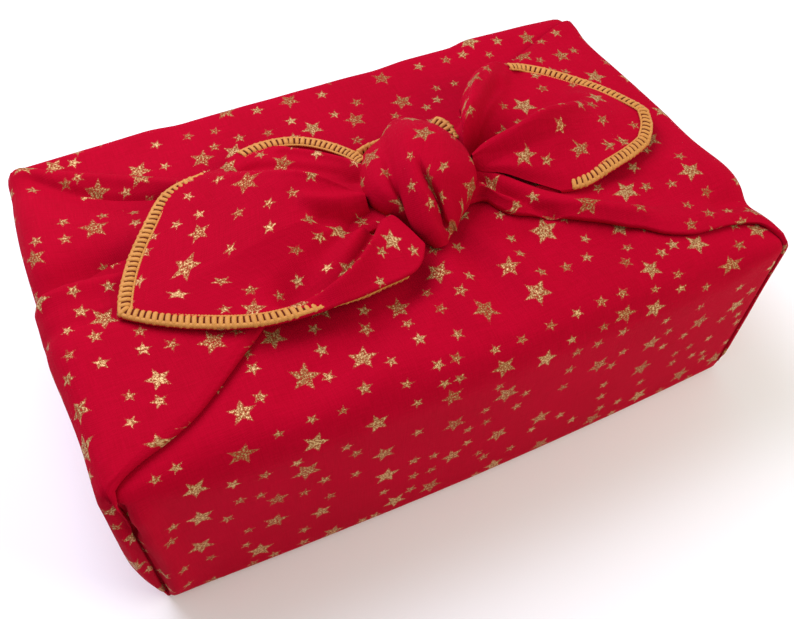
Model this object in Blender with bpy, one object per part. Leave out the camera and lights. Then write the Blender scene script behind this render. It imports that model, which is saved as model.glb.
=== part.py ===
"""Furoshiki wrap: a square cotton cloth folded round a box-shaped parcel and tied on top.

The cloth is one solid, hollow where the parcel was. X runs along the parcel, from the left tied end
to the right one, Y from the front to the back, Z up. The origin is the middle of the flat underside.
"""
from collections import namedtuple
import math

import bmesh
import bpy
import numpy as np

MM = 0.001
SAME_POINT = 1e-6

# ---- Driving sizes, in metres -------------------------------------------------------------------
PARCEL_LENGTH = 0.240
PARCEL_WIDTH = 0.148
PARCEL_HEIGHT = 0.079
EDGE_RADIUS = 0.004          # how softly the cloth turns the parcel's edges
BOX_PARTS = (6, 4, 1)        # faces between the soft edges, along X, Y and Z
SWELL_SIDES = 0.0025         # how far the front and back swell out halfway along them
SWELL_ENDS = 0.0005          # and the ends
RIGHT_BACK_IN = 0.0058       # how far the right end is drawn in at the back
RIGHT_FOOT_IN = 0.0045       # and at its foot
SIDES_FOOT_IN = 0.0006       # how far the front and back are drawn in at their foot
RIGHT_SIDES_IN = 0.0030      # and how much more at the right end
CLOTH = 0.0012               # one layer of cloth
LAYER_GAP = 0.0005           # air between two folded layers
PANEL = 0.0014               # a gathered end panel
TAIL = 0.0018                # a tied end, folded double in its hem
EDGING_WIDTH = 0.0048        # overlock thread, across the hem
EDGING_THICK = 0.0024
SEWN_GAP = 0.0003            # thread to cloth
EDGING_STEPS = 4             # sections of the thread from one row of a tied end to the next
# The thread's section, from the outer edge inwards: (share of its width, share of its thickness)
EDGING_SECTION = ((0.0, -0.25), (0.0, 0.25), (0.2, 0.5), (0.85, 0.5),
                  (1.0, 0.2), (1.0, -0.2), (0.85, -0.5), (0.2, -0.5))

# ---- Flaps over the top: where each folds, front to back ------------------------------------------
FLAP_EDGE_Y = -0.006         # free fold of the back flap, under the knot
FLAP_SLOT = 0.0009           # the slit beside it, which is the way into the wrap
FLAP_HALF_X = 0.112          # the folded layers stop short of the end walls
SLOT_HALF_X = 0.106
ACROSS = 9                   # places along X where a layer is divided, so that it swells too
SUNK = 0.00015               # how far a layer's joined end lies inside the cloth it comes from
BACK_LAYER_START_Y = 0.000   # where the back flap's folded layer parts from it
FRONT_LAYER_START_Y = -0.020  # and where the front flap's dips under the fold
FRONT_LAYER_DIP_Y = (-0.013, -0.005, 0.000)
FRONT_LAYER_BACK_Y = 0.062   # where the front flap turns back under the back flap
FRONT_LAYER_END_Y = -0.058
BACK_LAYER_END_Y = 0.060
TUCK_END_Y = 0.052           # how far the front wall's tucks reach along each end wall
TUCK_TOP = 0.068
TUCK_FOOT = 0.006

# ---- Gathered end panels ------------------------------------------------------------------------
# A row for each fold, front to back, in mm. end: place along the parcel's end edge. mid, knot: place
# halfway along the top and at the knot. wall ... neck: lift off the cloth below on the end wall, at
# the top edge, a quarter of the way in, halfway, and at the knot.
Fold = namedtuple("Fold", "end mid knot wall edge quarter half neck")
LEFT_FOLDS = {
    "front border": Fold(-80.5, -37.0, -14.0, 0.8, 0.5, 0.5, 0.6, 1.0),
    "front roll": Fold(-74.5, -33.5, -13.0, 5.2, 1.4, 2.2, 3.2, 3.0),
    "front flat": Fold(-46.0, -25.0, -11.5, 3.2, 4.0, 2.2, 2.4, 5.0),
    "front swell": Fold(-14.0, -13.0, -9.5, 4.4, 6.2, 2.6, 2.6, 6.0),
    "notch valley": Fold(12.0, -4.0, -6.5, 2.4, 3.2, 1.2, 2.0, 6.0),
    "back flat": Fold(36.0, 12.0, 0.0, 3.4, 4.6, 2.4, 2.6, 6.0),
    "dark valley": Fold(60.0, 27.0, 6.0, 2.2, 3.4, 0.7, 0.8, 5.0),
    "back roll": Fold(69.0, 34.0, 9.0, 1.6, 2.2, 3.0, 3.2, 4.0),
    "back border": Fold(73.0, 38.5, 12.0, 0.8, 1.0, 0.5, 0.6, 1.0),
}
RIGHT_FOLDS = {
    "front border": Fold(-74.0, -40.5, -12.0, 0.8, 0.6, 0.6, 0.8, 2.0),
    "front roll": Fold(-69.0, -36.5, -10.0, 0.8, 0.8, 3.6, 5.0, 6.0),
    "front valley": Fold(-54.0, -27.5, -7.5, 1.0, 1.0, 1.2, 2.2, 6.0),
    "corner ridge": Fold(-34.0, -18.0, -4.5, 2.0, 4.4, 1.8, 2.2, 6.5),
    "middle ridge": Fold(-12.0, -6.0, -1.5, 1.4, 1.4, 2.0, 2.2, 7.0),
    "back flat": Fold(25.0, 14.0, 2.5, 0.8, 0.6, 1.4, 2.0, 7.0),
    "back roll": Fold(58.0, 36.0, 8.0, 0.8, 0.8, 2.2, 3.0, 5.0),
    "back border": Fold(68.0, 40.5, 12.0, 0.8, 0.6, 0.6, 0.8, 1.0),
}
LEFT_KNOT_X = 0.002          # where each panel runs into the knot
RIGHT_KNOT_X = 0.024
PANEL_MID_X = 0.060          # the place of the "mid" column
PANEL_UNDER = 0.012          # how far a panel runs on under the parcel
PANEL_UNDER_IN = 0.004       # how far its corners are drawn in there
PANEL_UNDER_THICK = 0.0008   # it lies flatter there, within the bottom layer
PANEL_RECESS = 0.0002        # and how far it stays clear of what the parcel stands on
PANEL_JOINED_TO = 0.08       # up to this part of the end wall's height the panel is the wall,
PANEL_PARTED_FROM = 0.12     # here it has just parted from it,
PANEL_PARTING = 0.0004       # by this much,
PANEL_FREE_FROM = 0.5        # and from here it has its own lift
CORNER_TURN_AT_FOOT = 0.25   # share of its turn round the parcel's corner that a panel has at its foot
PANEL_STATIONS = (
    [("under", t) for t in (0.0, 0.75)]
    + [("wall", t) for t in (0.0, 0.04, 0.08, 0.12, 0.3, 0.5, 0.75, 0.94)]
    + [("top", t) for t in (0.0, 0.05, 0.14, 0.26, 0.4, 0.55, 0.7, 0.85, 1.0)]
)

# ---- Tied ends ----------------------------------------------------------------------------------
# A row for each fold, a ray out of the knot: its angle in degrees from +X, its reach in mm, and its
# height in mm above the parcel's top at the root, a third and two thirds of the way, and at the hem.
Ray = namedtuple("Ray", "angle reach root inner outer hem")
LEFT_ROOT = (-0.009, -0.004)
LEFT_TAIL = {
    "knot back": Ray(63.4, 13.4, 15.0, 14.0, 13.0, 12.0),
    "arch rise": Ray(86.2, 30.1, 14.0, 11.0, 9.5, 8.0),
    "arch top": Ray(107.3, 47.1, 14.0, 9.0, 7.5, 6.0),
    "arch end": Ray(126.9, 56.1, 15.0, 9.0, 8.0, 6.5),
    "back gully": Ray(136.8, 57.9, 17.0, 11.0, 8.5, 6.5),
    "ridge": Ray(144.5, 61.8, 20.0, 18.5, 15.0, 10.0),
    "shoulder": Ray(152.4, 73.0, 20.0, 18.0, 13.0, 8.5),
    "upper side": Ray(165.7, 80.0, 20.0, 16.0, 11.0, 7.0),
    "tip": Ray(186.9, 93.6, 19.0, 14.0, 9.0, 6.5),
    "lower side": Ray(200.0, 75.0, 17.0, 11.0, 8.0, 6.0),
    "trough": Ray(211.8, 62.6, 14.0, 9.0, 7.5, 7.0),
    "lobe crest": Ray(227.9, 48.2, 15.0, 14.0, 12.5, 8.0),
    "knot front": Ray(249.9, 35.8, 9.0, 8.5, 8.0, 7.0),
    "curl": Ray(274.2, 31.1, 9.0, 9.0, 9.0, 7.0),
    "under knot": Ray(291.7, 24.6, 9.0, 9.0, 9.0, 7.5),
}
LEFT_CORNERS = ("tip",)
RIGHT_ROOT = (0.0285, -0.001)
RIGHT_TAIL = {
    "knot back": Ray(71.8, 19.2, 15.0, 16.0, 17.0, 17.0),
    "back ridge": Ray(54.5, 49.9, 15.0, 19.0, 18.0, 15.0),
    "fold top": Ray(46.1, 60.4, 14.0, 15.0, 13.0, 10.0),
    "hem start": Ray(39.2, 66.7, 13.0, 10.0, 8.5, 7.5),
    "dark trough": Ray(24.6, 72.7, 13.0, 9.0, 7.5, 6.0),
    "crest": Ray(13.5, 75.0, 19.0, 19.5, 14.0, 7.0),
    "tip": Ray(0.4, 79.7, 20.0, 18.0, 12.0, 7.0),
    "end middle": Ray(-6.3, 76.3, 19.0, 15.5, 10.5, 7.0),
    "end low": Ray(-12.5, 71.2, 18.0, 13.5, 9.5, 6.5),
    "lower far": Ray(-23.3, 54.4, 16.0, 12.0, 9.5, 6.5),
    "lower near": Ray(-32.6, 44.0, 14.0, 11.5, 9.5, 6.5),
    "under fold": Ray(-39.2, 34.7, 11.0, 9.5, 8.0, 6.5),
}
RIGHT_CORNERS = ("tip", "end low")
TAIL_ROOT_RADIUS = 0.0025

# ---- Knot ---------------------------------------------------------------------------------------
# A row for each section of a lobe, in mm: its middle, with the height above the parcel's top, and
# half its width and half its depth.
Section = namedtuple("Section", "x y height half_width half_depth")
KNOT_LOBES = {
    "wrap left": (
        Section(14.0, 26.0, 6.0, 7.5, 5.0),
        Section(12.0, 18.0, 12.0, 9.5, 6.5),
        Section(8.5, 7.0, 16.5, 9.5, 7.5),
        Section(5.5, -4.0, 17.0, 7.5, 7.5),
        Section(3.8, -14.0, 13.5, 6.5, 7.0),
        Section(3.8, -21.0, 9.0, 6.0, 6.0),
        Section(5.5, -27.0, 5.5, 3.5, 4.0),
    ),
    "wrap right": (
        Section(21.0, 24.0, 6.0, 7.0, 5.0),
        Section(21.5, 16.0, 12.0, 9.0, 6.5),
        Section(21.0, 5.0, 15.0, 10.0, 7.0),
        Section(19.5, -5.0, 13.5, 10.0, 7.0),
        Section(17.0, -13.0, 10.5, 7.5, 6.0),
        Section(14.5, -20.0, 6.5, 4.0, 4.5),
    ),
    "left root": (
        Section(2.0, 18.0, 7.0, 5.0, 5.0),
        Section(-2.0, 11.0, 10.5, 6.0, 6.0),
        Section(-3.5, 3.0, 12.0, 6.5, 7.0),
        Section(-2.5, -5.0, 11.5, 6.0, 6.5),
        Section(-1.0, -11.0, 10.0, 4.5, 5.0),
    ),
    "right root": (
        Section(29.8, 9.0, 9.0, 4.0, 5.0),
        Section(29.2, 1.5, 9.8, 5.4, 6.2),
        Section(28.5, -5.0, 9.5, 4.5, 5.5),
        Section(26.0, -11.0, 8.0, 3.5, 4.5),
    ),
}
LOBE_SIDES = 12
LOBE_END = 0.5               # how far a lobe's rounded end stands out, in half depths

# ---- Colours -----------------------------------------------------------------------------------
COTTON_RED = (0.56, 0.006, 0.030, 1.0)
THREAD_GOLD = (0.58, 0.31, 0.075, 1.0)


def clear_scene():
    for thing in list(bpy.data.objects):
        bpy.data.objects.remove(thing)


def material(name, colour, roughness, metallic):
    made = bpy.data.materials.new(name)
    made.use_nodes = True
    shader = made.node_tree.nodes["Principled BSDF"]
    shader.inputs["Base Color"].default_value = colour
    shader.inputs["Roughness"].default_value = roughness
    shader.inputs["Metallic"].default_value = metallic
    return made


def settle(point):
    """The soft parcel's walls swell out between its corners and are drawn in at their foot, and its
    right end at the back. All that lies on it follows."""
    x, y, z = point
    to_end = 2 * x / PARCEL_LENGTH
    to_side = 2 * y / PARCEL_WIDTH
    below = max(1 - z / PARCEL_HEIGHT, 0.0)
    x += SWELL_ENDS * to_end * max(1 - to_side ** 2, 0.0)
    x -= (RIGHT_BACK_IN * max(to_side, 0.0) + RIGHT_FOOT_IN * below) * max(to_end, 0.0) ** 4
    y += SWELL_SIDES * to_side * max(1 - to_end ** 2, 0.0)
    y -= (SIDES_FOOT_IN + RIGHT_SIDES_IN * max(to_end, 0.0)) * below * to_side
    return x, y, z


def add_object(name, verts, faces):
    """A mesh object, settled with the parcel, whose faces all point outwards."""
    mesh = bpy.data.meshes.new(name)
    mesh.from_pydata([settle(v) for v in verts], [], faces)
    work = bmesh.new()
    work.from_mesh(mesh)
    bmesh.ops.remove_doubles(work, verts=work.verts, dist=SAME_POINT)
    bmesh.ops.recalc_face_normals(work, faces=work.faces)
    work.to_mesh(mesh)
    work.free()
    thing = bpy.data.objects.new(name, mesh)
    bpy.context.scene.collection.objects.link(thing)
    return thing


def hide(thing):
    thing.hide_render = True
    thing.display_type = "WIRE"


def boolean(target, other, operation):
    """The exact solver leaves some of these many layers touching along an edge, so it isn't used."""
    cut = target.modifiers.new(operation.title() + " " + other.name, "BOOLEAN")
    cut.operation = operation
    cut.solver = "MANIFOLD"
    cut.object = other
    hide(other)


# ---- Curves and grids ----------------------------------------------------------------------------
def smooth_run(points, steps):
    """A Catmull-Rom curve through the points, with its ends left free."""
    points = np.asarray(points, float)
    ends = np.vstack((2 * points[0] - points[1], points, 2 * points[-1] - points[-2]))
    out = []
    for i in range(len(points) - 1):
        a, b, c, d = ends[i:i + 4]
        for k in range(steps):
            t = k / steps
            out.append(0.5 * (2 * b + (c - a) * t + (2 * a - 5 * b + 4 * c - d) * t ** 2
                              + (3 * b - a - 3 * c + d) * t ** 3))
    out.append(points[-1])
    return np.array(out)


def smooth_table(rows, steps, corners=()):
    """Rows of a table in between the named ones; the curve may turn sharply at a corner row."""
    names = list(rows)
    cuts = [0] + [names.index(c) for c in corners] + [len(names) - 1]
    values = np.array(list(rows.values()), float)
    runs = []
    for first, last in zip(cuts, cuts[1:]):
        run = smooth_run(values[first:last + 1], steps)
        runs.append(run if not runs else run[1:])
    return np.vstack(runs)


def grid_faces(rows, columns):
    return [(r * columns + c, r * columns + c + 1, (r + 1) * columns + c + 1, (r + 1) * columns + c)
            for r in range(rows - 1) for c in range(columns - 1)]


def sheet(name, outer, inner):
    """A closed solid of one layer of cloth, from the grids of its outer and its inner face."""
    rows, columns = outer.shape[:2]
    count = rows * columns
    faces = grid_faces(rows, columns)
    faces += [tuple(count + i for i in reversed(face)) for face in faces]
    rim = ([c for c in range(columns)] + [r * columns + columns - 1 for r in range(1, rows)]
           + [(rows - 1) * columns + c for c in range(columns - 2, -1, -1)]
           + [r * columns for r in range(rows - 2, 0, -1)])
    faces += [(b, a, count + a, count + b) for a, b in zip(rim, rim[1:] + rim[:1])]
    return add_object(name, np.concatenate((outer.reshape(-1, 3), inner.reshape(-1, 3))), faces)


# ---- The parcel's soft-edged box -------------------------------------------------------------------
HALF = np.array((PARCEL_LENGTH / 2, PARCEL_WIDTH / 2, PARCEL_HEIGHT / 2))
CENTRE = np.array((0.0, 0.0, PARCEL_HEIGHT / 2))
SOFT_EDGE_TURNS = (22.5, 45.0)   # degrees round the soft edge at which the box's faces are divided


def on_parcel(point, lift):
    """Where a point of the square-edged box lies on the soft-edged one, lifted off it."""
    local = np.asarray(point, float) - CENTRE
    core = np.clip(local, EDGE_RADIUS - HALF, HALF - EDGE_RADIUS)
    out = local - core
    return CENTRE + core + out / np.linalg.norm(out) * (EDGE_RADIUS + lift)


def between(low, high, parts):
    return [low + (high - low) * k / parts for k in range(1, parts)]


def soft_box(name, inset):
    """The soft-edged box, made smaller all round by inset."""
    verts = []
    faces = []
    for axis in range(3):
        u, v = [a for a in range(3) if a != axis]
        for end in (-1, 1):
            lines = [edge_lines(HALF[u], BOX_PARTS[u]), edge_lines(HALF[v], BOX_PARTS[v])]
            start = len(verts)
            for a in lines[0]:
                for b in lines[1]:
                    local = np.empty(3)
                    local[axis], local[u], local[v] = end * HALF[axis], a, b
                    verts.append(on_parcel(local + CENTRE, -inset))
            side = grid_faces(len(lines[0]), len(lines[1]))
            faces += [tuple(start + i for i in face) for face in side]
    return add_object(name, verts, faces)


def edge_lines(half, parts):
    """Where the box's faces are divided: finely round the soft edges, evenly in between."""
    soft = half - EDGE_RADIUS
    turn = [half - EDGE_RADIUS * (1 - math.tan(math.radians(a))) for a in SOFT_EDGE_TURNS]
    return [-turn[1], -turn[0], -soft] + between(-soft, soft, parts) + [soft, turn[0], turn[1]]


def block(name, low, high):
    """A plain flat piece of cloth, divided along X so that it can swell."""
    ring = ((low[1], low[2]), (high[1], low[2]), (high[1], high[2]), (low[1], high[2]))
    verts = [(x, y, z) for x in np.linspace(low[0], high[0], ACROSS) for y, z in ring]
    return add_object(name, verts, tube_faces(ACROSS, len(ring)))


def tube_faces(rings, sides):
    """The faces of a closed tube whose rings follow one another, with flat ends."""
    turns = [(k, (k + 1) % sides) for k in range(sides)]
    faces = [(r * sides + a, r * sides + b, (r + 1) * sides + b, (r + 1) * sides + a)
             for r in range(rings - 1) for a, b in turns]
    faces.append(tuple(range(sides)))
    faces.append(tuple((rings - 1) * sides + k for k in range(sides)))
    return faces


# ---- Folded layers under the top --------------------------------------------------------------------
def folded_layer(name, profile):
    """A layer whose side view is the profile of (y, z) points, as wide as the flaps."""
    path = np.array(profile)
    along = np.gradient(path, axis=0)
    along /= np.linalg.norm(along, axis=1)[:, None]
    aside = np.column_stack((-along[:, 1], along[:, 0])) * CLOTH / 2

    def face(side_view):
        across = np.linspace(-FLAP_HALF_X, FLAP_HALF_X, ACROSS)
        return np.array([[(x, y, z) for x in across] for y, z in side_view])

    return sheet(name, face(path + aside), face(path - aside))


def flap_layers():
    """Both flaps' hidden layers: each turns under at its fold and runs back."""
    pitch = CLOTH + LAYER_GAP
    turn = pitch / 2
    top = PARCEL_HEIGHT - CLOTH / 2 - SUNK
    second, third, fourth = (PARCEL_HEIGHT - CLOTH / 2 - pitch * k for k in (1, 2, 3))
    fold = FLAP_EDGE_Y + FLAP_SLOT / 2 + CLOTH / 2
    back = folded_layer("back flap layer", (
        (BACK_LAYER_START_Y, top),
        (fold + turn / 3, top),
        (fold, (top + second) / 2),
        (fold + turn / 3, second),
        (BACK_LAYER_END_Y, second),
    ))
    start, low, dip = FRONT_LAYER_DIP_Y
    front = folded_layer("front flap layer", (
        (FRONT_LAYER_START_Y, top),
        (start, top - pitch / 4),
        (low, third + pitch / 8),
        (dip, third),
        (FRONT_LAYER_BACK_Y - turn, third),
        (FRONT_LAYER_BACK_Y, (third + fourth) / 2),
        (FRONT_LAYER_BACK_Y - turn, fourth),
        (FRONT_LAYER_END_Y, fourth),
    ))
    return [back, front]


def end_tucks():
    """The front wall's spare cloth, turned in along each end wall under the panel."""
    tucks = []
    for side in (-1, 1):
        outer = side * (PARCEL_LENGTH / 2 - CLOTH - LAYER_GAP)
        inner = outer - side * CLOTH
        low = (min(outer, inner), -PARCEL_WIDTH / 2 + CLOTH / 2, TUCK_FOOT)
        high = (max(outer, inner), TUCK_END_Y, TUCK_TOP)
        tucks.append(block("tuck", low, high))
    return tucks


# ---- Gathered end panels --------------------------------------------------------------------------
def panel_grid(folds, side, knot_x, steps_across, stations):
    """The outer and the inner face of one end panel: across it by folds, along it from the
    underside to the knot. side is -1 for the left end."""
    table = smooth_table(folds, steps_across)
    half_x = PARCEL_LENGTH / 2
    half_y = PARCEL_WIDTH / 2
    reach = half_x - side * knot_x
    rows = []
    widest = np.abs(table[:, 0]).max() * MM
    for fold in (Fold(*values) for values in table * MM):
        row = []
        along_y = np.clip(fold.end, -half_y, half_y)
        wrap = max(0.0, -half_y - fold.end)
        for zone, t in stations:
            thick = PANEL
            if zone == "under":
                thick = PANEL_UNDER_THICK
                drawn_in = fold.end * (half_y - PANEL_UNDER_IN) / widest
                flat = (side * (half_x - PANEL_UNDER * (1 - t)), drawn_in, 0.0)
                lift = -thick - PANEL_RECESS
            elif zone == "wall":
                turned = CORNER_TURN_AT_FOOT + (1 - CORNER_TURN_AT_FOOT) * math.sin(math.pi / 2 * t)
                flat = (side * (half_x - wrap * turned), along_y, PARCEL_HEIGHT * t)
                lift = np.interp(t, (PANEL_JOINED_TO, PANEL_PARTED_FROM, PANEL_FREE_FROM, 1),
                                 (-thick / 2, PANEL_PARTING, fold.wall, fold.edge))
            else:
                middle = (half_x - PANEL_MID_X) / reach
                y = quad_through(t, middle, along_y, fold.mid, fold.knot)
                lift = np.interp(t, (middle / 2, middle, 1), (fold.quarter, fold.half, fold.neck))
                lift += (fold.edge - fold.quarter) * max(1 - 2 * t / middle, 0.0) ** 2
                flat = (side * (half_x - wrap * (1 - t) - t * reach), y, PARCEL_HEIGHT)
            row.append((on_parcel(flat, lift + thick), on_parcel(flat, lift)))
        rows.append(row)
    faces = np.array(rows)
    return faces[:, :, 0], faces[:, :, 1]


def quad_through(t, m, first, middle, last):
    """The curve that is first at 0, middle at m and last at 1."""
    a = (1 - t) * (m - t) / m
    b = t * (1 - t) / (m * (1 - m))
    c = t * (t - m) / (1 - m)
    return a * first + b * middle + c * last


# ---- Tied ends -----------------------------------------------------------------------------------
def tail_grid(rows, root, corners, steps, radial, trim):
    """The upper and the lower face of a tied end, as rays out of the knot that end trim short of
    the hem's outer edge."""
    table = smooth_table(rows, steps, corners)
    hem = tail_rim(table, root)
    cut = hem + inward_of(hem) * trim
    first_height = Ray._fields.index("root")
    grid = []
    for (x, y, _), heights in zip(cut, table[:, first_height:]):
        levels = smooth_run(heights[:, None], radial)[:, 0] * MM + PARCEL_HEIGHT
        way = np.array((x, y)) - root
        start = TAIL_ROOT_RADIUS / np.linalg.norm(way)
        stations = np.linspace(start, 1, len(levels))
        grid.append([(*(root + way * s), z) for s, z in zip(stations, levels)])
    grid = np.array(grid)
    half = np.array((0, 0, TAIL / 2))
    return grid + half, grid - half


def tail_rim(table, root):
    """The hem's outer edge, at the end of each ray."""
    rim = []
    for ray in (Ray(*values) for values in table):
        a = math.radians(ray.angle)
        rim.append((root[0] + math.cos(a) * ray.reach * MM, root[1] + math.sin(a) * ray.reach * MM,
                    PARCEL_HEIGHT + ray.hem * MM))
    return np.array(rim)


def inward_of(rim):
    """The level direction from each point of the hem to the inside of the cloth, longer at a corner."""
    flat = rim[:, :2]
    steps = np.diff(flat, axis=0)
    steps /= np.linalg.norm(steps, axis=1)[:, None]
    sides = np.stack((-steps[:, 1], steps[:, 0]), 1)
    middle = flat.mean(0)
    if np.mean(np.sum(sides * (middle - flat[:-1]), 1)) < 0:
        sides = -sides
    first = np.vstack((sides[:1], sides))
    last = np.vstack((sides, sides[-1:]))
    join = (first + last) / (1 + np.sum(first * last, 1))[:, None]
    return np.column_stack((join, np.zeros(len(join))))


def edging(name, rows, root, corners, first, last):
    """The overlock thread along the hem, as a flat bar with rounded sides. first and last are each
    a row of the tied end and a number of steps past it."""
    steps = EDGING_STEPS
    table = smooth_table(rows, steps, corners)
    low, high = (list(rows).index(row) * steps + step for row, step in (first, last))
    rim = tail_rim(table, root)
    inward = inward_of(rim)[low:high + 1]
    rim = rim[low:high + 1]
    verts = []
    for spot, way in zip(rim, inward):
        for across, up in EDGING_SECTION:
            verts.append(spot + way * EDGING_WIDTH * across + np.array((0, 0, EDGING_THICK * up)))
    return add_object(name, verts, tube_faces(len(rim), len(EDGING_SECTION)))


# ---- Knot ----------------------------------------------------------------------------------------
def lobe(name, rows, steps=2):
    """One rounded lobe of the knot: oval sections along a smooth run, closed at both ends."""
    table = smooth_run(rows, steps) * MM
    middle = table[:, :3] + np.array((0, 0, PARCEL_HEIGHT))
    along = np.gradient(middle, axis=0)
    along /= np.linalg.norm(along, axis=1)[:, None]
    verts = []
    for section, spot, way in zip((Section(*values) for values in table), middle, along):
        side = np.cross(way, (0, 0, 1))
        side /= np.linalg.norm(side)
        up = np.cross(side, way)
        for k in range(LOBE_SIDES):
            a = 2 * math.pi * k / LOBE_SIDES
            across = side * section.half_width * math.cos(a)
            verts.append(spot + across + up * section.half_depth * math.sin(a))
    faces = tube_faces(len(table), LOBE_SIDES)[:-2]
    for end, sign in ((0, -1), (len(table) - 1, 1)):
        verts.append(middle[end] + sign * along[end] * table[end, -1] * LOBE_END)
        ring = [end * LOBE_SIDES + k for k in range(LOBE_SIDES)]
        faces += [(a, b, len(verts) - 1) for a, b in zip(ring, ring[1:] + ring[:1])]
    return add_object(name, verts, faces)


# ---- The whole cloth --------------------------------------------------------------------------------
def make_cloth(look):
    cloth = soft_box("cloth", 0.0)
    hollow = soft_box("hollow", CLOTH)
    boolean(cloth, hollow, "DIFFERENCE")
    slot = block("slot", (-SLOT_HALF_X, FLAP_EDGE_Y - FLAP_SLOT / 2, PARCEL_HEIGHT - CLOTH * 2),
                 (SLOT_HALF_X, FLAP_EDGE_Y + FLAP_SLOT / 2, PARCEL_HEIGHT + CLOTH))
    boolean(cloth, slot, "DIFFERENCE")
    pieces = flap_layers() + end_tucks()
    pieces.append(sheet("left panel", *panel_grid(LEFT_FOLDS, -1, LEFT_KNOT_X, 2, PANEL_STATIONS)))
    pieces.append(sheet("right panel", *panel_grid(RIGHT_FOLDS, 1, RIGHT_KNOT_X, 2, PANEL_STATIONS)))
    pieces += [lobe(name, rows) for name, rows in KNOT_LOBES.items()]
    trim = EDGING_WIDTH + SEWN_GAP
    pieces.append(sheet("left tail", *tail_grid(LEFT_TAIL, LEFT_ROOT, LEFT_CORNERS, 2, 2, trim)))
    pieces.append(sheet("right tail", *tail_grid(RIGHT_TAIL, RIGHT_ROOT, RIGHT_CORNERS, 2, 2, trim)))
    for piece in pieces:
        boolean(cloth, piece, "UNION")
    cloth.data.materials.append(look)
    return cloth


def make_edgings(look):
    made = [
        edging("edging_left", LEFT_TAIL, LEFT_ROOT, LEFT_CORNERS, ("ridge", 0), ("curl", 0)),
        edging("edging_left_back", LEFT_TAIL, LEFT_ROOT, LEFT_CORNERS, ("knot back", 3), ("arch end", 0)),
        edging("edging_right", RIGHT_TAIL, RIGHT_ROOT, RIGHT_CORNERS, ("fold top", 0), ("lower near", 0)),
    ]
    for thing in made:
        thing.data.materials.append(look)


def main():
    clear_scene()
    make_cloth(material("printed red cotton", COTTON_RED, 0.8, 0.0))
    make_edgings(material("gold overlock thread", THREAD_GOLD, 0.45, 0.0))


main()
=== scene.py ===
"""Furoshiki wrap, the looks: star-printed cotton on the folds of the wrap, and its gold overlock edging.

The cloth is one thin sheet in several stretches (the wrapped body, the gathered end panels, the tied
ends and the knot). X runs along the parcel, Y from the front to the back, Z up, in metres.
"""

from collections import namedtuple
import math

import bmesh
import bpy
from bpy.props import FloatProperty, FloatVectorProperty, IntProperty, PointerProperty
from mathutils import Matrix, Vector, noise
import numpy as np


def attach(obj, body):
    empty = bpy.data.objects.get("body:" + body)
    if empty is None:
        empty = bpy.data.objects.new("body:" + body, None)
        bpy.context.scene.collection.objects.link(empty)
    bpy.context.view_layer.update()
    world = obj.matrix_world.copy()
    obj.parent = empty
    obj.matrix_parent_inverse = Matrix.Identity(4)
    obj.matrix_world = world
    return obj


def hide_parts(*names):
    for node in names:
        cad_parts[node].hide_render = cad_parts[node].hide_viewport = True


bl_info = {
    "name": "Furoshiki Wrap",
    "version": (1, 0, 0),
    "blender": (4, 5, 0),
    "location": "3D View > Sidebar > Furoshiki",
    "description": "A star-printed wrapping cloth tied round a parcel, with overlocked ends",
    "category": "Object",
}

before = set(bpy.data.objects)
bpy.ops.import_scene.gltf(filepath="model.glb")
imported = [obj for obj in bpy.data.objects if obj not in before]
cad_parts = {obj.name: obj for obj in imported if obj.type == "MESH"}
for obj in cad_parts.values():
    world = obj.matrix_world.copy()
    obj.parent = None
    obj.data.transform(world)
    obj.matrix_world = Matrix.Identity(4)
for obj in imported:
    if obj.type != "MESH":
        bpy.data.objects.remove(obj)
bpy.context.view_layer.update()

MM = 0.001
SAME_POINT = 1e-6

# ---- The parcel under the cloth, in metres -------------------------------------------------------
PARCEL_LENGTH = 0.240
PARCEL_WIDTH = 0.148
PARCEL_HEIGHT = 0.079
EDGE_RADIUS = 0.004          # how softly the cloth turns the parcel's edges
FRONT_EDGE_RADIUS = 0.013    # and the top edge in front
SWELL_SIDES = 0.0025         # how far the front and back swell out halfway along them
SWELL_ENDS = 0.0005          # and the ends
RIGHT_BACK_IN = 0.0058       # how far the right end is drawn in at the back
RIGHT_FOOT_IN = 0.0020       # and at its foot
LEFT_FOOT_IN = 0.0012        # and the left end at its foot
SIDES_FOOT_IN = 0.0006       # how far the front and back are drawn in at their foot
RIGHT_SIDES_IN = 0.0014      # and how much more at the right end
DRAWN_IN_POWER = 4           # how close to an end wall it is drawn in
# Where the front's top edge is softer, as shares of the way from the middle to the front, to the top and
# to an end.
SOFT_TO_FRONT = (0.3, 0.9)
SOFT_TO_TOP = (-0.4, 0.7)
SOFT_TO_END = (0.97, 0.75)
HALF = np.array((PARCEL_LENGTH / 2, PARCEL_WIDTH / 2, PARCEL_HEIGHT / 2))
CENTRE = np.array((0.0, 0.0, PARCEL_HEIGHT / 2))

# ---- The cloth -----------------------------------------------------------------------------------
LAYER_PITCH = 0.0017         # from one folded layer to the next
BODY_SPACING = 0.003         # how finely the body is divided
WALL_SPACING = 0.0025        # and a panel on the end wall
TOP_SPACING = 0.0013         # and over the top
TUCK_SPACING = 0.010         # and the hidden tucks
EDGE_TURNS = (15.0, 30.0, 45.0)   # degrees round a soft edge at which the body is divided
ROLL_TURNS = (-90.0, -67.5, -45.0, -22.5, 0.0, 22.5, 45.0, 67.5, 90.0)   # degrees round a border's fold
TUCKED_IN = (0.009, 0.003)   # how far in from a fold the rows of cloth that turn under it lie
TUCKED_LIFT = 0.00025        # and how far off the body

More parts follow.
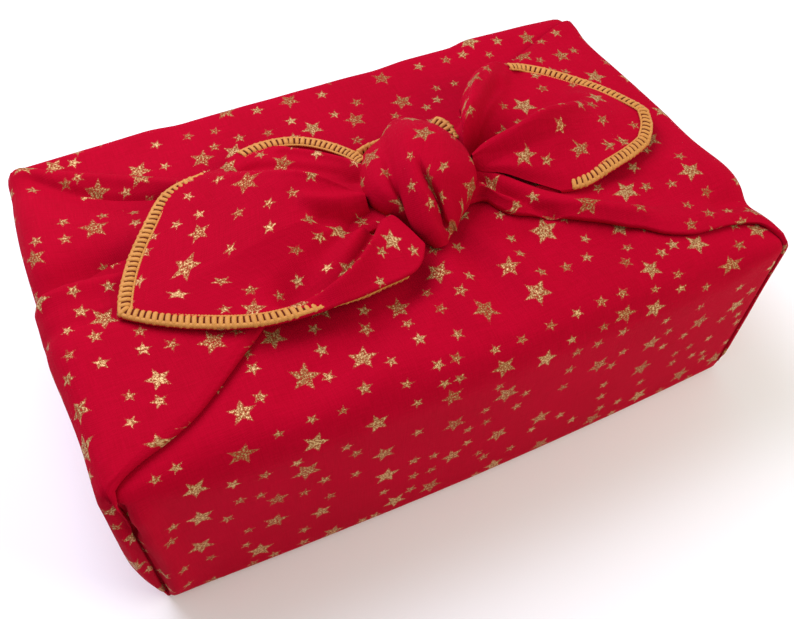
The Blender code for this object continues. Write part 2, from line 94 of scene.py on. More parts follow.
# ---- Flaps over the top, front to back -----------------------------------------------------------
FLAP_EDGE_Y = -0.006
FLAP_SLOT = 0.0009           # between the two flaps' folds
SLOT_CLEAR = BODY_SPACING / 3    # the mesh has no line nearer the slot than this
FLAP_HALF_X = 0.112
FLAP_ACROSS = 12
FRONT_LAYER_END_Y = 0.061
BACK_LAYER_END_Y = 0.060
HIDDEN_LAYERS = 4            # times the front flap runs back and forth under the top
TUCK_END_Y = 0.052           # how far the front wall's tucks reach along each end wall
TUCK_TOP = 0.068
TUCK_FOOT = 0.006
TUCKS = 2                    # layers at each end

# ---- Gathered end panels -------------------------------------------------------------------------
# A row for each fold, front to back, in mm. end: place along the parcel's end edge. mid, knot: place
# halfway along the top and at the knot. wall ... neck: lift off the cloth below on the end wall, at the
# top edge, a quarter of the way in, halfway, and at the knot.
Fold = namedtuple("Fold", "end mid knot wall edge quarter half neck")
LEFT_FOLDS = {
    "front border": Fold(-75.4, -37.0, -14.0, 0.4, 1.6, 1.8, 2.2, 2.4),
    "front roll": Fold(-71.0, -32.5, -12.8, 3.7, 2.4, 2.4, 3.0, 3.0),
    "front flat": Fold(-46.0, -25.0, -11.5, 2.2, 2.8, 2.4, 2.6, 5.0),
    "front swell": Fold(-14.0, -13.0, -9.5, 4.0, 5.2, 3.0, 2.6, 6.0),
    "notch valley": Fold(12.0, -4.0, -6.5, 3.2, 4.4, 1.2, 1.8, 6.0),
    "back flat": Fold(36.0, 12.0, 0.0, 3.6, 4.6, 2.4, 2.6, 6.0),
    "dark valley": Fold(60.0, 27.0, 6.0, 2.2, 3.4, 0.5, 0.6, 5.0),
    "back roll": Fold(69.0, 34.0, 9.0, 1.6, 2.8, 3.4, 3.4, 4.0),
    "back border": Fold(73.0, 38.5, 12.0, 0.6, 1.8, 1.8, 1.6, 1.0),
}
RIGHT_FOLDS = {
    "front border": Fold(-74.0, -40.5, -12.0, 0.3, 0.6, 1.2, 1.4, 1.8),
    "front roll": Fold(-67.0, -35.0, -9.5, 0.6, 0.8, 2.4, 3.4, 6.0),
    "front valley": Fold(-54.0, -27.5, -7.5, 0.6, -0.2, 1.4, 2.2, 6.5),
    "corner ridge": Fold(-36.0, -18.0, -4.5, 1.2, 2.6, 1.8, 2.4, 6.5),
    "middle ridge": Fold(-12.0, -6.0, -1.5, 0.8, 0.6, 2.0, 2.2, 7.0),
    "back flat": Fold(25.0, 14.0, 2.5, 0.8, 0.6, 1.4, 2.0, 7.0),
    "back roll": Fold(58.0, 36.0, 8.0, 0.8, 0.8, 2.2, 3.0, 5.0),
    "back border": Fold(68.0, 40.5, 12.0, 0.4, 0.6, 1.0, 1.4, 1.0),
}
# The front border of each panel: (way up the end and over the top, y), in mm.
BORDER_LINES = {
    "left panel": ((79, -73.4), (81.7, -70.6), (84.4, -68.6), (88.9, -66.2), (93.2, -64.4), (98, -62.5),
                   (103.6, -59.8), (108.6, -57), (114.1, -52.9), (119.7, -48.5), (125.6, -43.6),
                   (131, -39.3), (135.6, -35.7), (143, -29), (152, -22.5), (163, -17.5), (177, -14.8),
                   (197, -14)),
    "right panel": ((79, -74), (81.3, -68.7), (84.4, -62.0), (93.8, -58.3), (103.7, -57.1), (109.4, -56.1),
                    (117.8, -51.8), (123.3, -46.8), (128.3, -43.6), (133.9, -39.1), (141.1, -34.5),
                    (148.7, -29.7), (155, -26.2), (162.2, -22.3), (165.7, -17.3), (168, -12.4), (175, -12)),
}
LEFT_KNOT_X = 0.002
RIGHT_KNOT_X = 0.024
PANEL_MID_X = 0.060
PANEL_UNDER = 0.012          # how far a panel runs on under the parcel, inside its bottom layer
PANEL_UNDER_IN = 0.004       # how much narrower it is there, at each side
PANEL_UNDER_LIFT = -0.0004
PANEL_ABOVE = 0.0013         # the sheet lies this far above the solid's inner face
PANEL_FOOT_LIFT = 0.0005
PANEL_JOINED_TO = 0.08       # parts of the end wall's height up to which it lies close to the body
PANEL_PARTED_FROM = 0.12
PANEL_PARTING = 0.0004
PANEL_FREE_FROM = 0.5        # and from which the table's folds have their full height
PANEL_SMOOTH_TO = 0.2        # and up to which the cloth's unevenness fades in
CORNER_TURN_AT_FOOT = 0.25   # how much of the cloth past a corner is turned there at the foot
FOLD_STEPS = 14              # rows of the mesh from one fold to the next
ROLL_STEPS = 10              # how many of the rows by a border its roll takes the place of
PRINT_ROWS = 13              # a panel's lines over which the print's place is evened out
PRINT_RAYS = 31              # and a tied end's rays, and the knot's lines
BORDER_FADE = (0.0, 0.4)     # share of the panel's width over which its border draws it along

# ---- Tied ends -----------------------------------------------------------------------------------
# A row for each ray out of the end's root. angle: its direction, in degrees from +X towards +Y. reach: to
# the hem's outer edge, in mm. root ... hem: height over the parcel's top at its root, at a third and two
# thirds of it, and at the hem, in mm.
Ray = namedtuple("Ray", "angle reach root inner outer hem")
LEFT_ROOT = (-0.009, -0.004)
LEFT_TAIL = {
    "knot back": Ray(63.4, 13.4, 9.0, 14.0, 13.0, 12.0),
    "arch rise": Ray(86.2, 30.1, 9.0, 11.0, 9.5, 8.0),
    "arch top": Ray(107.3, 47.1, 9.0, 9.0, 7.5, 6.0),
    "arch end": Ray(126.9, 56.1, 9.0, 9.0, 8.0, 6.5),
    "back gully": Ray(136.8, 57.9, 10.0, 11.0, 8.5, 6.5),
    "ridge": Ray(144.5, 61.8, 11.0, 18.5, 15.0, 10.0),
    "shoulder": Ray(152.4, 73.0, 11.0, 18.0, 13.0, 8.5),
    "upper side": Ray(165.7, 80.0, 11.0, 16.0, 11.0, 7.0),
    "tip": Ray(186.9, 93.6, 10.5, 14.0, 9.0, 6.5),
    "lower side": Ray(200.0, 75.0, 9.5, 11.0, 8.0, 6.0),
    "trough": Ray(211.8, 62.6, 8.5, 9.0, 7.5, 7.0),
    "lobe crest": Ray(227.9, 48.2, 8.0, 14.0, 12.5, 8.0),
    "knot front": Ray(249.9, 35.8, 6.0, 8.5, 8.0, 7.0),
    "curl": Ray(274.2, 31.1, 6.0, 9.0, 9.0, 7.0),
    "under knot": Ray(291.7, 24.6, 5.0, 9.0, 9.0, 7.5),
}
LEFT_CORNERS = ("tip",)      # the rays at which the hem turns sharply
RIGHT_ROOT = (0.0285, -0.001)
RIGHT_TAIL = {
    "knot back": Ray(71.8, 19.2, 9.0, 16.0, 17.0, 17.0),
    "back ridge": Ray(54.5, 49.9, 10.0, 19.0, 18.0, 15.0),
    "fold top": Ray(46.1, 60.4, 10.0, 15.0, 13.0, 10.0),
    "hem start": Ray(39.2, 66.7, 9.0, 10.0, 8.5, 7.5),
    "dark trough": Ray(24.6, 72.7, 8.0, 9.0, 7.5, 6.0),
    "crest": Ray(13.5, 75.0, 12.0, 19.5, 14.0, 7.0),
    "tip": Ray(0.4, 79.7, 12.0, 18.0, 12.0, 7.0),
    "end middle": Ray(-6.3, 76.3, 12.0, 15.5, 10.5, 7.0),
    "end low": Ray(-12.5, 71.2, 11.0, 13.5, 9.5, 6.5),
    "lower far": Ray(-23.3, 54.4, 10.0, 12.0, 9.5, 6.5),
    "lower near": Ray(-32.6, 44.0, 8.0, 11.0, 8.4, 5.2),
    "under fold": Ray(-39.2, 34.7, 6.0, 8.5, 6.6, 4.8),
}
RIGHT_CORNERS = ("tip", "end low")
TAIL_ROOT_RADIUS = 0.0025
RAY_STEPS = 12               # rays of the mesh from one named ray to the next
RADIAL_STEPS = 26            # and rings from one column of heights to the next
TAIL_ABOVE = 0.0006          # the sheet lies this far above the middle of the solid
TAIL_TRIM = 0.0008           # and ends this far inside the hem's outer edge
TAIL_ROLL = 0.0008           # radius of the cloth's roll at the hem
TAIL_ROLL_TURNS = (45.0, 0.0, -45.0, -90.0)   # degrees round it at which the roll is divided

# ---- Knot ----------------------------------------------------------------------------------------
# Rows across it from behind its top to its foot in front, each from left to right, in mm.
KNOT_BAND = {
    "back foot": ((-4, 20, 1), (-4, 21, 2), (0, 23, 3), (4, 25, 3.5), (8, 28, 4), (10, 29.5, 5),
                  (13.5, 31, 5.5), (17, 31, 5.5), (19, 30.5, 5.2), (21, 30.5, 5.2), (24, 29.5, 5),
                  (27, 27.5, 4.5), (29, 25, 3.5), (28, 23, 1)),
    "back": ((-4, 17, 2), (-5, 18, 5), (-2.5, 19.5, 8), (1.5, 21, 10), (5.5, 22, 11.5), (8.5, 24, 13.2),
             (12, 25.8, 14.4), (15.5, 26, 14.4), (17.5, 25.6, 13.9), (20, 25, 13.2), (24, 23.3, 12),
             (28, 20.8, 9.8), (30.3, 18.5, 7), (29.5, 18, 2)),
    "back top": ((-6, 12, 2.5), (-7, 13, 8), (-4.7, 14, 12.5), (-1, 14.5, 15), (3, 14.8, 17),
                 (6, 16, 19), (10, 17.3, 20.4), (14, 17.8, 20.3), (17, 17.5, 19.6), (19.8, 17, 18.6),
                 (24.4, 15.8, 16.6), (28.9, 13.6, 13), (31.5, 11.8, 9), (30.5, 11, 2.5)),
    "top": ((-8, 5, 3), (-9.5, 5.5, 9.5), (-7, 6, 15), (-2.8, 6.2, 17.6), (0.6, 6.2, 18.4),
            (3.4, 6.8, 21.4), (7, 7.5, 23.6), (11, 8, 24.2), (14, 7.9, 23.8), (17, 7.6, 23.1),
            (22.8, 6.5, 20.6), (28.4, 4.8, 15.8), (31.8, 2.8, 10.5), (30.8, 2, 3)),
    "crest": ((-8, -2, 3), (-10.4, -2.2, 9.5), (-8.2, -2.6, 15), (-4.2, -3, 17.4), (-1.4, -3.2, 16.6),
              (0.8, -3.2, 19.8), (3.8, -3, 23), (6.4, -2.7, 23.7), (8.3, -2.5, 23.6), (10.6, -2.6, 23.5),
              (18.6, -3, 21.4), (25.8, -4.2, 16.4), (30.4, -5.5, 10.5), (29.4, -6, 3)),
    "front top": ((-5, -7, 3), (-8, -8, 8.5), (-6, -8.8, 13.4), (-3.2, -9.4, 14.6), (-0.9, -9.2, 11.8),
                  (-1, -10.5, 15.5), (2, -11, 20.4), (5.6, -11.2, 20.9), (8.8, -11.4, 16.8),
                  (9.3, -10.6, 21.2), (15.4, -9.8, 20.4), (22.9, -9.8, 15.2), (27.6, -10.5, 9.5),
                  (26.6, -11, 3)),
    "front": ((-2, -10, 3), (-4.2, -11.4, 6), (-3, -12.8, 9.4), (-0.8, -14, 9.4), (0.6, -14.4, 6.4),
              (-1.8, -16.6, 11), (1.4, -17.4, 16.3), (6.3, -17.4, 17), (10.8, -16.2, 10), (10.7, -14.6, 16.8),
              (14.8, -13.5, 16.8), (20.2, -13.4, 12.6), (24, -13.8, 8), (23.2, -14.2, 2.5)),
    "low front": ((0.5, -13, 2), (-0.8, -14, 3.2), (-0.5, -15, 4.6), (0.8, -16, 4.2), (2, -16.2, 3.4),
                  (-0.8, -20.6, 7.5), (1, -22, 11.6), (5.4, -22, 12.6), (10.4, -20, 6),
                  (11, -18.6, 11.4), (13.8, -17.6, 12.2), (17.2, -17, 9.6), (19.6, -16.8, 6), (19.2, -17, 2)),
    "tip": ((2.3, -16, 1.5), (1.4, -17, 2.2), (1.8, -18, 2.7), (2.6, -19, 2.8), (3.5, -19.6, 2.5),
            (2, -23.6, 4), (2.8, -25.2, 7), (6.2, -25.4, 8.2), (10, -23.8, 4), (11.8, -22, 6.8),
            (13.4, -21.2, 7.4), (15, -20.6, 6), (16.2, -20, 3.8), (16, -20.2, 1.5)),
    "foot": ((3.5, -18, 1), (3.2, -19, 1.5), (3.5, -20, 1.5), (4, -21, 1.5), (4.5, -21.6, 1.5),
             (4.3, -25, 1.5), (4.8, -26.4, 2.5), (6.8, -26.8, 3), (9.4, -25.4, 1.5), (11.4, -23.6, 2.6),
             (12.8, -22.8, 3), (14, -22, 2.5), (15, -21.6, 1.5), (14.8, -21.4, 0.8)),
}
KNOT_ANCHOR = 0.5            # where along the rows and columns their places in the print agree
KNOT_STEPS = 14              # rows and columns of the mesh from each named one to the next

# ---- Creases, in mm ------------------------------------------------------------------------------
# Each is raised by height, or sunk where it is negative, and fades out over ahead to the left of its
# path's direction and over behind to the right. On the body a place is (x, way up the front and over the
# top), on a panel (way up the end and over the top, y), on a tied end (x, y), and on the knot its print.
Crease = namedtuple("Crease", "height ahead behind path")
CREASES = {
    "body": (
        Crease(3.4, 6.0, 0.9, ((-116.4, -75), (-116.9, -79), (-117, -84), (-116.6, -92), (-116, -104),
                               (-115.4, -120), (-116, -138), (-117, -152))),
        Crease(-4.6, 1.3, 1.3, ((-118.2, -76), (-118.2, -80), (-118.2, -85), (-118.1, -91), (-118, -98))),
        Crease(-2.4, 4.0, 7.0, ((20, -14), (28, -24), (38, -30), (50, -36), (62, -43), (74, -50))),
        Crease(0.9, 9.0, 9.0, ((24, 76), (62, 73), (84, 71.5), (104, 70), (130, 66))),
        Crease(1.7, 9.0, 9.0, ((60, 73), (84, 71.5), (104, 70), (130, 66))),
        Crease(1.1, 9.0, 9.0, ((-146, 74), (-122, 74), (-100, 74), (-78, 75), (-56, 76))),
        Crease(1.8, 5.0, 5.0, ((8, -18), (7, -32), (5, -48), (3, -62))),
        Crease(-2.1, 5.0, 5.0, ((13, -16), (15, -30), (16, -46), (17, -60))),
        Crease(1.9, 5.0, 5.0, ((21, -16), (26, -31), (30, -47), (33, -62))),
        Crease(-1.9, 6.0, 6.0, ((34, -28), (40, -44), (45, -58))),
        Crease(-1.8, 6.0, 6.0, ((0, -22), (-14, -41), (-32, -49), (-52, -57), (-70, -64))),
        Crease(1.0, 6.0, 6.0, ((-6, -40), (-20, -56), (-42, -68))),
    ),
    "left panel": (
        Crease(-4.8, 2.0, 8.0, ((138, 0), (123, 3.5), (113, 4.6), (104, 8), (97, 7.8), (91, 7.9), (84, 6.8),
                                (78, 6.3), (72, 6.4))),
        Crease(2.9, 5.0, 1.8, ((132, -4), (113, -1), (104, 3.0), (95, 3.2), (88, 2.8), (80, 2.2), (74, 2))),
        Crease(-2.6, 2.0, 7.0, ((78, 68), (92, 54), (100, 47.5), (108, 41), (121, 35.5), (138, 30))),
        Crease(-3.8, 1.6, 1.6, ((80, -72.5), (76.5, -73), (72, -73.6), (66, -74.4), (58, -75.2))),
        Crease(-1.0, 2.5, 3.5, ((72, -11), (82, -11.5), (95, -12.5), (108, -13))),
    ),
    "right panel": (
        Crease(-3.6, 1.2, 1.8, ((172, -4), (166.1, -7.3), (164.7, -10.8), (163, -14.1), (159.7, -17.7),
                                (155.4, -23.1), (151, -28), (146, -33))),
        Crease(2.2, 3.5, 2.0, ((172, 2), (165.3, -2), (161.5, -7), (157, -13), (151.5, -19), (145, -24.5),
                               (136, -31), (124, -39), (112, -46))),
        Crease(2.6, 9.0, 9.0, ((159, 74), (137, 73), (115, 71.5), (95, 70), (60, 66))),
        Crease(-1.4, 5.0, 5.0, ((60, -49), (70, -50), (79, -51), (88, -50), (98, -48))),
        Crease(-1.0, 3.0, 5.0, ((165, 3), (150, -5), (132, -13), (112, -25), (92, -37))),
    ),
    "left tail": (
        Crease(-5.0, 1.4, 8.0, ((-5, -5), (-10, -9.5), (-17.1, -18.4), (-26.1, -26.1), (-35.9, -31),
                                (-46.6, -31.7), (-58, -30))),
        Crease(2.2, 5.0, 1.4, ((-6, -8), (-10, -12), (-15.9, -20), (-23.8, -28), (-33.2, -33.3),
                               (-42.9, -35.5))),
        Crease(-3.8, 4.0, 1.5, ((-4, -8), (-8.7, -7.7), (-15.2, -7.5), (-20.4, -6.9), (-25.5, -6),
                                (-33, -5))),
        Crease(2.2, 2.6, 2.6, ((-8, -3), (-17, -3.2), (-26, -2), (-36, 1))),
        Crease(-2.2, 3.0, 2.0, ((-6, 2), (-13.6, 13), (-25.6, 23), (-35.1, 28), (-41.7, 30), (-54, 28))),
        Crease(1.7, 1.8, 1.8, ((-5, 8), (-11.5, 19.9), (-22.8, 30.9), (-34.2, 36.8))),
        Crease(-1.7, 1.8, 1.8, ((-5, 3), (-12, 9), (-24, 17), (-38, 22))),
        Crease(-1.5, 1.6, 1.6, ((-5, 11), (-8, 19), (-17, 30), (-27, 38))),
    ),
    "right tail": (
        Crease(2.6, 3.0, 3.0, ((27, -4), (29, -3.5), (35, -1), (42, -1.2), (50, -0.8), (58, 1), (65, 2.5),
                               (73, 4), (86, 7))),
        Crease(-4.8, 7.0, 2.0, ((28, 0), (31, 2), (38, 3.6), (50, 3.8), (60, 6), (72, 9), (88, 14))),
        Crease(1.8, 1.8, 1.8, ((30, 5), (34, 10.8), (44, 24), (55.2, 38))),
        Crease(-1.8, 1.8, 1.8, ((30, 2), (38, 10), (50, 22), (64, 34))),
        Crease(1.6, 1.8, 1.8, ((30, 6), (33, 14), (39, 28), (46, 42))),
        Crease(-0.8, 1.5, 1.5, ((32, -4), (44, -5), (58, -5), (70, -4))),
    ),
    "knot": (
        Crease(-0.8, 1.0, 1.0, ((36, -58), (37.5, -63), (38.5, -68), (38.8, -73))),
    ),
}
CREASE_STEPS = 6             # straight parts of a crease from one point of its path to the next
CREASE_FADE = 0.16           # share of its length over which it fades in and out
CREASE_REACH = 3.0           # widths beyond which it is left out

# ---- Unevenness of the cloth ---------------------------------------------------------------------
WAVE_LENGTHS = (0.045, 0.016)     # soft undulation: its lengths and heights
WAVE_HEIGHTS = (0.00040, 0.00014)
FLAT_BELOW = 0.012           # the foot stays flat: the undulation fades out below this height

# ---- Where in the endless print each stretch begins, in metres -----------------------------------
PRINT_FROM = {
    "body": (0.0, 0.0),
    "left panel": (0.613, 0.279),
    "right panel": (1.391, 0.557),
    "left tail": (2.131, 0.851),
    "right tail": (2.911, 1.129),
    "knot": (3.303, 0.098),
    "hidden": (4.507, 0.207),
}
UNDERSIDE_PRINT = 0.5        # how far from the top's print the underside's is

# ---- Print ---------------------------------------------------------------------------------------
STAR_TIPS = 5
WEAR_REPEATS = 7.0           # how often a star's wear runs from 0 to 1 as its turn goes round once
BIG_FREEDOM = 0.55           # how far a large star may lie from its cell's middle, 0 to 1
SMALL_FREEDOM = 0.6          # and a small one
BIG_SHARE = 0.8              # share of the places for large stars that have one
SMALL_SHARE = 0.8            # and for small ones
STAR_SIZES = (0.78, 1.04)    # sizes of the stars, times the radius given
GRAIN_SCALE = 2600.0         # grain that makes a star's outline ragged, in turns a metre
RAGGED = 0.0011              # and how far it moves the outline, in metres
OUTLINE_BLUR = 0.00022
SPECK_SCALE = 1350.0         # specks of the foil, in turns a metre
SPECK_DETAIL = (3.0, 0.75)   # and their finer octaves and how strong they are
SPECKS_LOST = (0.36, 0.47)   # level of specks below which a fresh star and a worn one have lost their foil
SPECK_BLUR = (-0.03, 0.08)
FOIL_LEFT = 0.2              # how much of the gold stays where a speck is lost
GLITTER = (0.38, 0.66)       # levels of specks with the darkest and the lightest gold
WORN_DULLER = 0.12           # how much a worn star's level drops
FOIL_METALLIC = 0.35
CLOTH_ROUGHNESS = 0.82
FOIL_ROUGHNESS = 0.42

# ---- Weave ---------------------------------------------------------------------------------------
SLUB_SCALES = (2000.0, 130.0)    # uneven threads: turns a metre across a thread and along it
SLUB_BASE = 0.25             # level of the threads' unevenness that leaves the tone as it is
CLOUD_SCALE = 24.0           # broad patches of tone, in turns a metre
TONE_WEIGHTS = (0.6, 0.22, 0.05)     # of the threads' unevenness, the clouds and the weave
BUMP_WEIGHTS = (0.6, 1.4, 0.6)       # of the weave, the threads' unevenness and the foil
WEAVE_BUMP = 0.00006
WEAVE_BUMP_STRENGTH = 0.7
CLOTH_SPECULAR = 0.04
SHEEN = 0.02
SHEEN_ROUGHNESS = 0.45
SHEEN_TINT = (1.0, 0.12, 0.3, 1.0)

# ---- Overlock thread -----------------------------------------------------------------------------
THREAD_SCALES = (1800.0, 150.0)  # fine and broad unevenness, in turns a metre
THREAD_WEIGHTS = (0.6, 0.4)
# dark colour of the hem's core between the ribs: painted shade, the red hem lying in the ribs' shadow
CORE_SHADE_COLOUR = (0.10, 0.012, 0.006, 1.0)
THREAD_ROUGHNESS = 0.45
CORE_ROUGHNESS = 1.0
THREAD_SPECULAR = 0.1
THREAD_BUMP = 0.00012
THREAD_BUMP_STRENGTH = 0.8
RIB_SIDES = 16
THREAD_SIDES = 8
CORE_SIDES = 12
LOOP_RINGS = 5
RIB_FLATNESS = 1.5           # a rib's width along the hem as a share of its thickness off it
CORE_SHARE = (0.86, 0.66)    # the core's width and thickness as shares of the edging's; its dark colour is painted shade
CORE_STEP = 0.5              # its sections, and the cord's, as a share of the way between ribs
CORD_OUT = 0.43              # how far out the cord lies, as a share of the room it has
EDGING_LIFT = 0.0003         # how far above the hem's middle its edging is
LOOP_OVERLAP = 1.5           # a chain loop's length as a share of the way to the next
EDGING_SIZES = ("Rib spacing", "Rib thickness", "Width", "Thickness", "Cord thickness", "Chain spacing",
                "Chain thickness", "Slant", "Unevenness")

# ---- Where the edging shows ----------------------------------------------------------------------
# first, last: (ray, rows of the mesh past it). tips: where the edging turns over along its hem, from
# which ray to which, by how many degrees, and how far it is then tucked under the cloth, in metres.
Strip = namedtuple("Strip", "tail first last tips")
EDGINGS = {
    "overlock_left": ("edging_left", Strip("left", ("ridge", 0), ("knot front", 8),
                                           (("upper side", "ridge", 26, 0.0),
                                            ("trough", "knot front", 56, 0.0014)))),
    "overlock_left_back": ("edging_left_back", Strip("left", ("knot back", 4), ("arch end", 0), ())),
    "overlock_right": ("edging_right", Strip("right", ("fold top", 0), ("lower near", 5),
                                             (("crest", "tip", -8, 0.0),))),
}
HEM_BITS = {                 # short ends of hem that show behind the knot, in mm, and the way across them
    "overlock_left_back": (((-5, 18.5, 8.5), (-3.5, 20, 9), (-0.7, 21.1, 9), (2.7, 21.6, 9), (7.1, 22.3, 9)),
                           (0.1, -0.35, -0.93)),
    "overlock_right": (((28.8, 24, 10), (29.8, 22.4, 10.5), (30.9, 18.1, 10.5), (31.1, 13.5, 9.5)),
                       (-0.8, -0.4, -0.45)),
}
TAILS = {
    "left": (LEFT_TAIL, LEFT_ROOT, LEFT_CORNERS),
    "right": (RIGHT_TAIL, RIGHT_ROOT, RIGHT_CORNERS),
}

# ---- Floor and light, in metres and degrees ------------------------------------------------------
FLOOR_REACH = 3.0
FLOOR_DROP = 0.0002
FLOOR_ROUGHNESS = 0.9
FLOOR_SPECULAR = 0.1
SURROUND_COLOUR = (1.0, 1.0, 1.0, 1.0)
Light = namedtuple("Light", "azimuth elevation distance size tint")
KEY_LIGHT = Light(212, 56, 0.62, 0.42, (1.0, 1.0, 1.22))
FILL_LIGHT = Light(52, 30, 0.8, 0.5, (1.0, 0.98, 0.84))

# ---- Camera, in metres and degrees ---------------------------------------------------------------
CAMERA_PLACE = (-0.09576, -0.20669, 0.31066)
CAMERA_AZIMUTH = -25.5267
CAMERA_ELEVATION = 52.1303
CAMERA_ROLL = 1.0264
CAMERA_LENS = 40.56          # mm on a sensor as wide as the picture
CAMERA_SENSOR = 36.0


# ---- Curves --------------------------------------------------------------------------------------
def smooth_run(points, steps):
    """A Catmull-Rom curve through the points, with its ends left free."""
    points = np.asarray(points, float)
    ends = np.vstack((2 * points[0] - points[1], points, 2 * points[-1] - points[-2]))
    t = (np.arange(steps) / steps)[:, None]
    out = []
    for a, b, c, d in zip(ends, ends[1:], ends[2:], ends[3:]):
        out.append(0.5 * (2 * b + (c - a) * t + (2 * a - 5 * b + 4 * c - d) * t ** 2
                          + (3 * b - a - 3 * c + d) * t ** 3))
    return np.vstack(out + [points[-1:]])


def smooth_table(rows, steps, corners=()):
    """Rows of a table in between the named ones; the curve may turn sharply at a corner row."""
    names = list(rows)
    cuts = [0] + [names.index(c) for c in corners] + [len(names) - 1]
    values = np.array(list(rows.values()), float)
    runs = []
    for first, last in zip(cuts, cuts[1:]):
        run = smooth_run(values[first:last + 1], steps)
        runs.append(run if not runs else run[1:])
    return np.vstack(runs)


def even_curve(at, knots, values):
    """Curves without overshoot through each row of values, which belong to the knots."""
    gap = np.diff(knots)
    slope = np.diff(values, axis=1) / gap
    before, after = slope[:, :-1], slope[:, 1:]
    rising = before * after > 0
    weight_a = 2 * gap[1:] + gap[:-1]
    weight_b = gap[1:] + 2 * gap[:-1]
    safe_before = np.where(rising, before, 1.0)
    safe_after = np.where(rising, after, 1.0)
    inner = np.where(rising, (weight_a + weight_b) / (weight_a / safe_before + weight_b / safe_after), 0.0)
    tangent = np.hstack((slope[:, :1], inner, slope[:, -1:]))
    k = np.clip(np.searchsorted(knots, at, "right") - 1, 0, len(gap) - 1)
    t = (at - knots[k]) / gap[k]
    return ((2 * t ** 3 - 3 * t ** 2 + 1) * values[:, k] + (3 * t ** 2 - 2 * t ** 3) * values[:, k + 1]
            + (t ** 3 - 2 * t ** 2 + t) * gap[k] * tangent[:, k]
            + (t ** 3 - t ** 2) * gap[k] * tangent[:, k + 1])


def quad_through(t, m, first, middle, last):
    """The curve that is first at 0, middle at m and last at 1."""
    a = (1 - t) * (m - t) / m
    b = t * (1 - t) / (m * (1 - m))
    c = t * (t - m) / (1 - m)
    return a * first + b * middle + c * last


def smooth_step(value, low, high):
    """From 0 at low to 1 at high, softly; low may be the greater."""
    t = np.clip((value - low) / (high - low), 0, 1)
    return t * t * (3 - 2 * t)


def crease_lift(creases, u, v):
    """How far the creases raise the points at the places u, v, in metres."""
    u, v = np.broadcast_arrays(u, v)
    place = np.stack((u.ravel(), v.ravel()), 1) / MM
    total = np.zeros(len(place))
    for crease in creases:
        line = smooth_run(crease.path, CREASE_STEPS)
        reach = CREASE_REACH * max(crease.ahead, crease.behind)
        near = np.all((place > line.min(0) - reach) & (place < line.max(0) + reach), axis=1)
        step = np.diff(line, axis=0)
        length = np.linalg.norm(step, axis=1)
        off = place[near][:, None] - line[None, :-1]
        along = np.clip((off * step).sum(2) / length ** 2, 0, 1)
        away = np.linalg.norm(off - along[..., None] * step, axis=2)
        rows = np.arange(len(away))
        k = away.argmin(1)
        left = step[k, 0] * off[rows, k, 1] > step[k, 1] * off[rows, k, 0]
        run = (np.append(0, np.cumsum(length))[k] + along[rows, k] * length[k]) / length.sum()
        fade = smooth_step(np.minimum(run, 1 - run), 0, CREASE_FADE)
        width = np.where(left, crease.ahead, crease.behind)
        total[near] += crease.height * fade * np.exp(-(away[rows, k] / width) ** 2)
    return total.reshape(u.shape) * MM


def even_out(rows, count):
    """Each row's mean with its neighbours, that many rows in all."""
    half = count // 2
    padded = np.vstack((np.repeat(rows[:1], half, 0), rows, np.repeat(rows[-1:], half, 0)))
    total = np.vstack((np.zeros_like(rows[:1]), np.cumsum(padded, 0)))
    return (total[count:] - total[:-count]) / count


def evenly(low, high, spacing):
    """Numbers from low to high, about that far apart."""
    return np.linspace(low, high, max(2, int(round((high - low) / spacing)) + 1))


# ---- The parcel's form ---------------------------------------------------------------------------
def on_parcel(flat, lift):
    """Where points of the square-edged box lie on the soft-edged one, lifted off it."""
    local = flat - CENTRE
    to_end, to_side, to_top = np.moveaxis(local / HALF, -1, 0)
    softer = smooth_step(-to_side, *SOFT_TO_FRONT) * smooth_step(to_top, *SOFT_TO_TOP)
    softer *= smooth_step(np.abs(to_end), *SOFT_TO_END)
    radius = (EDGE_RADIUS + (FRONT_EDGE_RADIUS - EDGE_RADIUS) * softer)[..., None]
    core = np.clip(local, radius - HALF, HALF - radius)
    out = local - core
    length = np.linalg.norm(out, axis=-1, keepdims=True)
    return CENTRE + core + out / length * (radius + np.asarray(lift)[..., None])


def settle(points):
    """The soft parcel's walls swell out between its corners and are drawn in at their foot, and its
    right end at the back. All that lies on it follows."""
    x, y, z = np.moveaxis(points, -1, 0)
    to_end = 2 * x / PARCEL_LENGTH
    to_side = 2 * y / PARCEL_WIDTH
    below = np.maximum(1 - z / PARCEL_HEIGHT, 0.0)
    right = np.maximum(to_end, 0.0)
    left = np.maximum(-to_end, 0.0)
    new_x = x + SWELL_ENDS * to_end * np.maximum(1 - to_side ** 2, 0.0)
    new_x -= (RIGHT_BACK_IN * np.maximum(to_side, 0.0) + RIGHT_FOOT_IN * below) * right ** DRAWN_IN_POWER
    new_x += LEFT_FOOT_IN * below * left ** DRAWN_IN_POWER
    new_y = y + SWELL_SIDES * to_side * np.maximum(1 - to_end ** 2, 0.0)
    new_y -= (SIDES_FOOT_IN + RIGHT_SIDES_IN * right) * below * to_side
    return np.stack((new_x, new_y, z), -1)


def waves(points):
    """Soft undulation of cloth: how far it raises each point."""
    flat = points.reshape(-1, 3)
    total = np.zeros(len(flat))
    for length, height in zip(WAVE_LENGTHS, WAVE_HEIGHTS):
        total += height * np.array([noise.noise(Vector(p / length)) for p in flat])
    return (total * smooth_step(flat[:, 2], 0.0, FLAT_BELOW)).reshape(points.shape[:-1])


